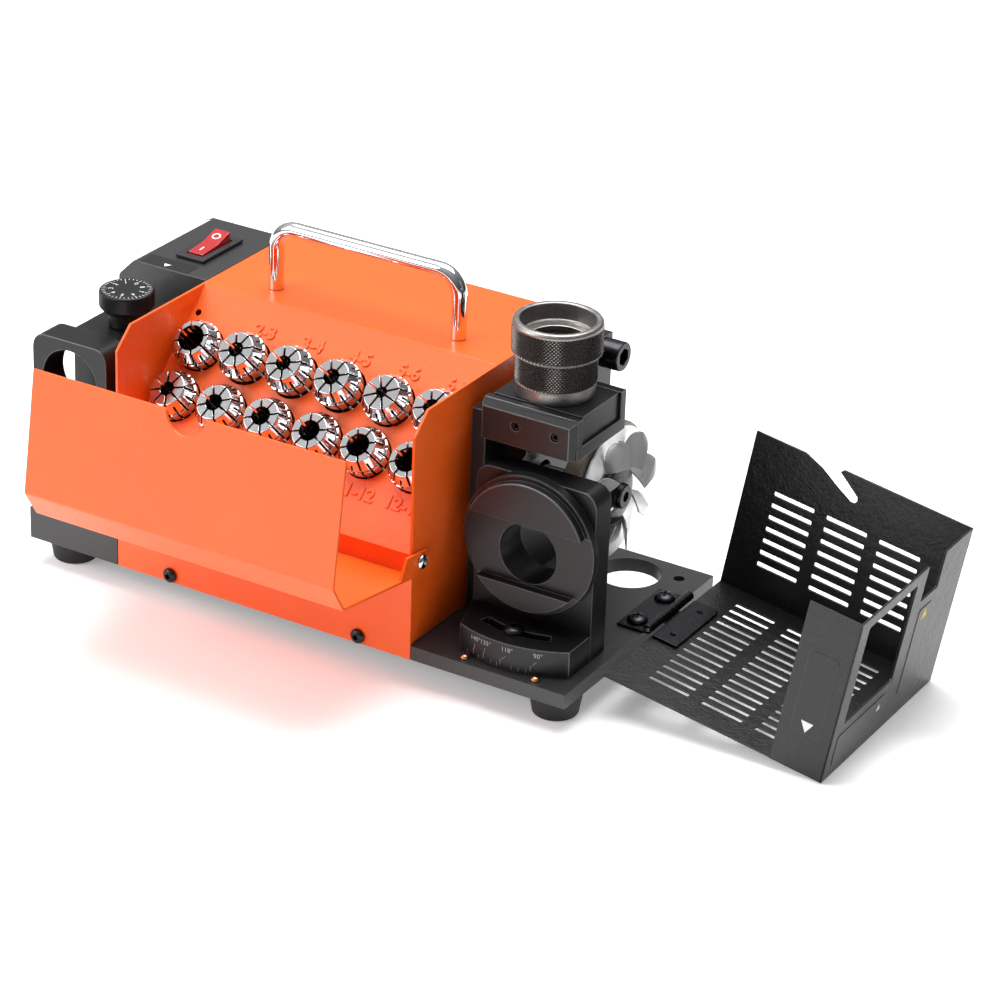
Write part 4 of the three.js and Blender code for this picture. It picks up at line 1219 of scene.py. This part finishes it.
def finish_knurled(piece, radius, low, high):
    """The knurl keeps the steel's dark finish, and the plain turned faces beside it get a paler copy of
    it, a painted highlight on the lit rims.
    """
    piece.data.materials.append(warm_grey_steel)
    piece.data.materials.append(rim_steel_painted_highlight)
    for face in piece.data.polygons:
        spot_radius = math.hypot(face.center.x, face.center.y) / MM
        in_band = low <= face.center.z / MM <= high and spot_radius > radius - 1
        face.material_index = 0 if in_band else 1


collar = turned("thinning_collar", [
    (13.5, 129.6), (19.8, 129.6), (19.8, 135.2), (20.1, 135.6), *knurled_band(*COLLAR_BAND, KNURL_STEP),
    (20.1, 150.2), (19.8, 150.5), (16, 150.5), (16, 154.5), (13.5, 154.5), (13.5, 129.6),
], KNURL_SIDES)
press_knurl(collar, *COLLAR_BAND, KNURL_STEP, KNURL_SIDES, KNURL_DEPTH)
cut_away(collar, *[block((-30, -30, 120), (30, -18.6, 135.3), turn) for turn in (0, 60)])
break_edges(collar, 0, sharper_than=32)
finish_knurled(collar, *COLLAR_BAND)
stand_at(collar, at(SLEEVE_X, SLEEVE_Y, 0))
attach(collar, "slide")
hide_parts("web_collar")

sleeve = turned("thinning_sleeve", [
    (16.4, 150.8), (22, 150.8), (22.3, 151.1), *knurled_band(*SLEEVE_BAND, KNURL_STEP), (22.35, 165.4),
    (22.1, 166.3), (21.5, 167.1), (20.8, 167.4), (19.3, 167.4), (18.7, 167.1), (18.4, 166.6),
    (18.4, 158.9), (18.1, 158.6), (17.2, 158.3), (17.0, 157.9), (15.6, 157.6), (13.9, 157.6),
    (13.5, 157.3), (13.5, 154.9), (16.4, 154.9), (16.4, 150.8),
], KNURL_SIDES)
press_knurl(sleeve, *SLEEVE_BAND, KNURL_STEP, KNURL_SIDES, KNURL_DEPTH)
break_edges(sleeve, 0, sharper_than=32)
finish_knurled(sleeve, *SLEEVE_BAND)
stand_at(sleeve, at(SLEEVE_X, SLEEVE_Y, 0))
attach(sleeve, "sleeve")
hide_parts("web_sleeve")

# The stop screw goes through the way's lug from the right. It is a black cap screw with a deep
# hexagon socket, and it sets how far the slide can travel.
STOP_Y, STOP_Z = 103, 139
stop = turned("thinning_stop", [
    (2.8, 26), (3, 26.3), (3, 44.3), (7.2, 44.3), (7.5, 44.7), (7.5, 54.2), (7.3, 54.8), (6.8, 55),
], 64)
bore(stop, 4.6, 10, 54)
break_edges(stop, 0.25, sharper_than=40)
stand_at(stop, at(0, STOP_Y, STOP_Z), (1, 0, 0))
stop.data.materials.append(black_oxide)
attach(stop, "base")
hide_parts("web_stop_screw")


# ---- swarf guard ----
# The guard is folded from thin perforated steel and coated black: a floor, a back wall with a
# notch, an end face with a window and a narrow front strip. It hangs open on the hinge at the
# plate's edge.
guard_coat = powder_coat("guard_powder_coat", (0.0055, 0.0056, 0.006), 0.36, 640, 0.0005, 0.5,
                         gloss_film=0.05)
HINGE_X, HINGE_Z, GUARD_DROOP = 90.3, 10.6, 9.5
GUARD_NEAR, GUARD_END, GUARD_TOP, GUARD_FLOOR = 2.6, 123.7, 86.5, -2.7
GUARD_FRONT, GUARD_BACK, GUARD_SHEET, STRIP_NEAR = 29.2, 150.2, 1.2, 95.4
PANEL_EDGE, FLOOR_SHEET = 0.2, 0.8
SLOT_COLUMNS, SLOT_HALF, SLOT_ROUND = (19.6, 49.4, 79.2), 1.35, 0.6


def rounded_rectangle(left, right, low, high, radius):
    """The corner points of a rectangle with round corners, in millimetres."""
    corners = ((right - radius, high - radius, 0), (left + radius, high - radius, 90),
               (left + radius, low + radius, 180), (right - radius, low + radius, 270))
    return [(x + radius * math.cos(a), y + radius * math.sin(a))
            for x, y, start in corners for a in map(math.radians, range(start, start + 91, 30))]


def sheet_panel(name, outer, holes, thick):
    """A flat panel about its own mid-plane: an outline with holes punched in it and soft edges."""
    flat = bpy.data.curves.new(name, "CURVE")
    flat.dimensions = "2D"
    flat.fill_mode = "BOTH"
    flat.extrude = (thick / 2 - PANEL_EDGE) * MM
    flat.bevel_depth = PANEL_EDGE * MM
    flat.bevel_resolution = 1
    flat.offset = -PANEL_EDGE * MM
    for points in (outer, *holes):
        line = flat.splines.new("POLY")
        line.points.add(len(points) - 1)
        for point, (x, y) in zip(line.points, points):
            point.co = (x * MM, y * MM, 0, 1)
        line.use_cyclic_u = True
    panel = bpy.data.objects.new(name, flat)
    bpy.context.scene.collection.objects.link(panel)
    pick(panel)
    bpy.ops.object.convert(target="MESH")
    panel = bpy.context.object
    bpy.ops.object.mode_set(mode="EDIT")
    bpy.ops.mesh.select_all(action="SELECT")
    bpy.ops.mesh.remove_doubles(threshold=0.000002)
    bpy.ops.object.mode_set(mode="OBJECT")
    return panel


def slots(rows, first, pitch, length):
    """Three columns of punched slots: the outline of each, in millimetres."""
    return [rounded_rectangle(near, near + length, middle - SLOT_HALF, middle + SLOT_HALF, SLOT_ROUND)
            for near in SLOT_COLUMNS for middle in [first + row * pitch for row in range(rows)]]


floor_slots, back_slots = slots(14, 45.4, 6.9, 22.3), slots(7, 15.8, 6.95, 22.8)

sheet_low = GUARD_FLOOR - GUARD_SHEET
floor_outline = [(GUARD_NEAR, GUARD_FRONT), (GUARD_END, GUARD_FRONT), (GUARD_END, GUARD_BACK),
                 (GUARD_NEAR, GUARD_BACK)]
rivet_holes = [rounded_rectangle(9.1, 12.3, y - 1.6, y + 1.6, 1.59) for y in (84, 112)]
back_outline = [(GUARD_NEAR, sheet_low), (GUARD_END, sheet_low), (GUARD_END, GUARD_TOP),
                (52.4, GUARD_TOP), (50.7, 84.8), (62.4, 75.6), (62.9, 73.4), (61.6, 71.5), (59.4, 71.2),
                (50.4, 76.2), (41, 82.2), (30.6, GUARD_TOP), (GUARD_NEAR, GUARD_TOP)]
end_outline = [(GUARD_FRONT, sheet_low), (GUARD_BACK, sheet_low), (GUARD_BACK, GUARD_TOP),
               (120, GUARD_TOP), (120, 66.8), (119.2, 66), (101.8, 66), (101, 66.8), (101, GUARD_TOP),
               (GUARD_FRONT, GUARD_TOP)]
window = rounded_rectangle(39.5, 91, 25.5, 80.2, 1.2)
strip_outline = [(STRIP_NEAR, sheet_low), (GUARD_END, sheet_low), (GUARD_END, GUARD_TOP - 1.5),
                 (GUARD_END - 1.5, GUARD_TOP), (STRIP_NEAR, GUARD_TOP)]


def on_guard(away, y, height, turn):
    """The matrix of a place on the guard, measured away from the hinge pin and square to the floor."""
    droop = Matrix.Rotation(math.radians(GUARD_DROOP), 4, "Y")
    return (Matrix.Translation(at(HINGE_X, 0, HINGE_Z)) @ droop
            @ Matrix.Translation(Vector((away, y, height)) * MM) @ turn)


facing_front = Matrix.Rotation(math.pi / 2, 4, "X")
facing_out = Matrix.Rotation(math.pi / 2, 4, "Z") @ facing_front
flat_down = Matrix.Identity(4)
half = GUARD_SHEET / 2
guard = joined("swarf_guard", [
    laid(sheet_panel("panel", outline, holes, thick), on_guard(*place))
    for outline, holes, thick, place in (
        (floor_outline, floor_slots + rivet_holes, FLOOR_SHEET, (0, 0, GUARD_FLOOR - half, flat_down)),
        (back_outline, back_slots, GUARD_SHEET, (0, GUARD_BACK - half, 0, facing_front)),
        (end_outline, [window], GUARD_SHEET, (GUARD_END - half, 0, 0, facing_out)),
        (strip_outline, [], GUARD_SHEET, (0, GUARD_FRONT + half, 0, facing_front)))])
break_edges(guard, 0, sharper_than=40)
guard.data.materials.append(guard_coat)
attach(guard, "guard")
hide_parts("guard")

# Thin printed plates are stuck to the guard's front strip and end face: plain panels with a
# white arrow each, and a small yellow triangle on the one by the window.
yellow_print = moulded("yellow_print", (0.75, 0.5, 0.02), 0.5, 1200, 0.00002)
label_edge = moulded("label_edge", (0.12, 0.12, 0.12), 0.4, 1500, 0.00003)
LABEL_THICK = 0.3
GUARD_LABELS = {
    "front_label": (facing_front, (109.5, GUARD_FRONT, 40), (16, 45)),
    "window_label": (facing_out, (GUARD_END, 110.5, 35), (14, 50)),
    "lower_label": (facing_out, (GUARD_END, 62, 11), (52, 18)),
}
for name, (facing, place, (wide, tall)) in GUARD_LABELS.items():
    label = laid(thin_plate(name, wide, tall, LABEL_THICK, 2), on_guard(*place, facing))
    label.data.materials.append(label_film)
    label.data.materials.append(label_edge)
    break_edges(label, 0.12, steps=1, edge_finish=1)
    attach(label, "guard")

GUARD_MARKS = {
    "front_arrow": (facing_front, (109.5, GUARD_FRONT - LABEL_THICK, 22.5), math.pi, 6.6, white_print),
    "window_triangle": (facing_out, (GUARD_END + LABEL_THICK, 110.5, 55), 0, 6.6, yellow_print),
    "lower_arrow": (facing_out, (GUARD_END + LABEL_THICK, 81, 14), 0, 4, white_print),
}
for name, (facing, place, turn, size, print_colour) in GUARD_MARKS.items():
    mark = laid(arrow(name, size, size * 0.9, 0.08),
                on_guard(*place, facing) @ Matrix.Rotation(turn, 4, "Z"))
    mark.data.materials.append(print_colour)
    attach(mark, "guard")


# ---- hinge ----
# The hinge is pressed steel: a blackened leaf screwed to the plate, another riveted to the
# guard's floor, and a bright pin through the three knuckles.
HINGE_PARTS = {
    "hinge_leaf_fixed": ("plate_leaf", "base", black_oxide, "hinge_steel"),
    "hinge_leaf_moving": ("guard_leaf", "guard", black_oxide, "hinge_steel"),
    "hinge_pin": ("hinge_rod", "base", polished_steel, "bright_steel"),
}
for node, (name, body, metal, slot) in HINGE_PARTS.items():
    leaf = flattened_copy(node, name)
    break_edges(leaf, 0.22, sharper_than=34)
    leaf.data.materials.append(metal)
    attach(leaf, body)
    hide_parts(node)

# Two pan-head screws with cross recesses hold the fixed leaf down.
LEAF_SCREWS_ALONG, LEAF_SCREW_X, RECESS_FLOOR = {"front": 84, "back": 112}, 80.4, 11.2
for end, along in LEAF_SCREWS_ALONG.items():
    pan_top = [(5.35 * math.cos(a), 10.2 + 2.45 * math.sin(a))
               for a in map(math.radians, range(10, 76, 13))]
    pan = turned(f"leaf_screw_{end}", [(1.6, 3), (1.6, 9.8), (5.2, 9.8), (5.38, 10.1), *pan_top], 48)
    cut_away(pan, *[block((-x, -y, RECESS_FLOOR), (x, y, 14), 20) for x, y in ((2.8, 0.5), (0.5, 2.8))])
    break_edges(pan, 0.1, sharper_than=40)
    stand_at(pan, at(LEAF_SCREW_X, along, 0))
    pan.data.materials.append(black_oxide)
    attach(pan, "base")
    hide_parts(f"hinge_screw_{end}")
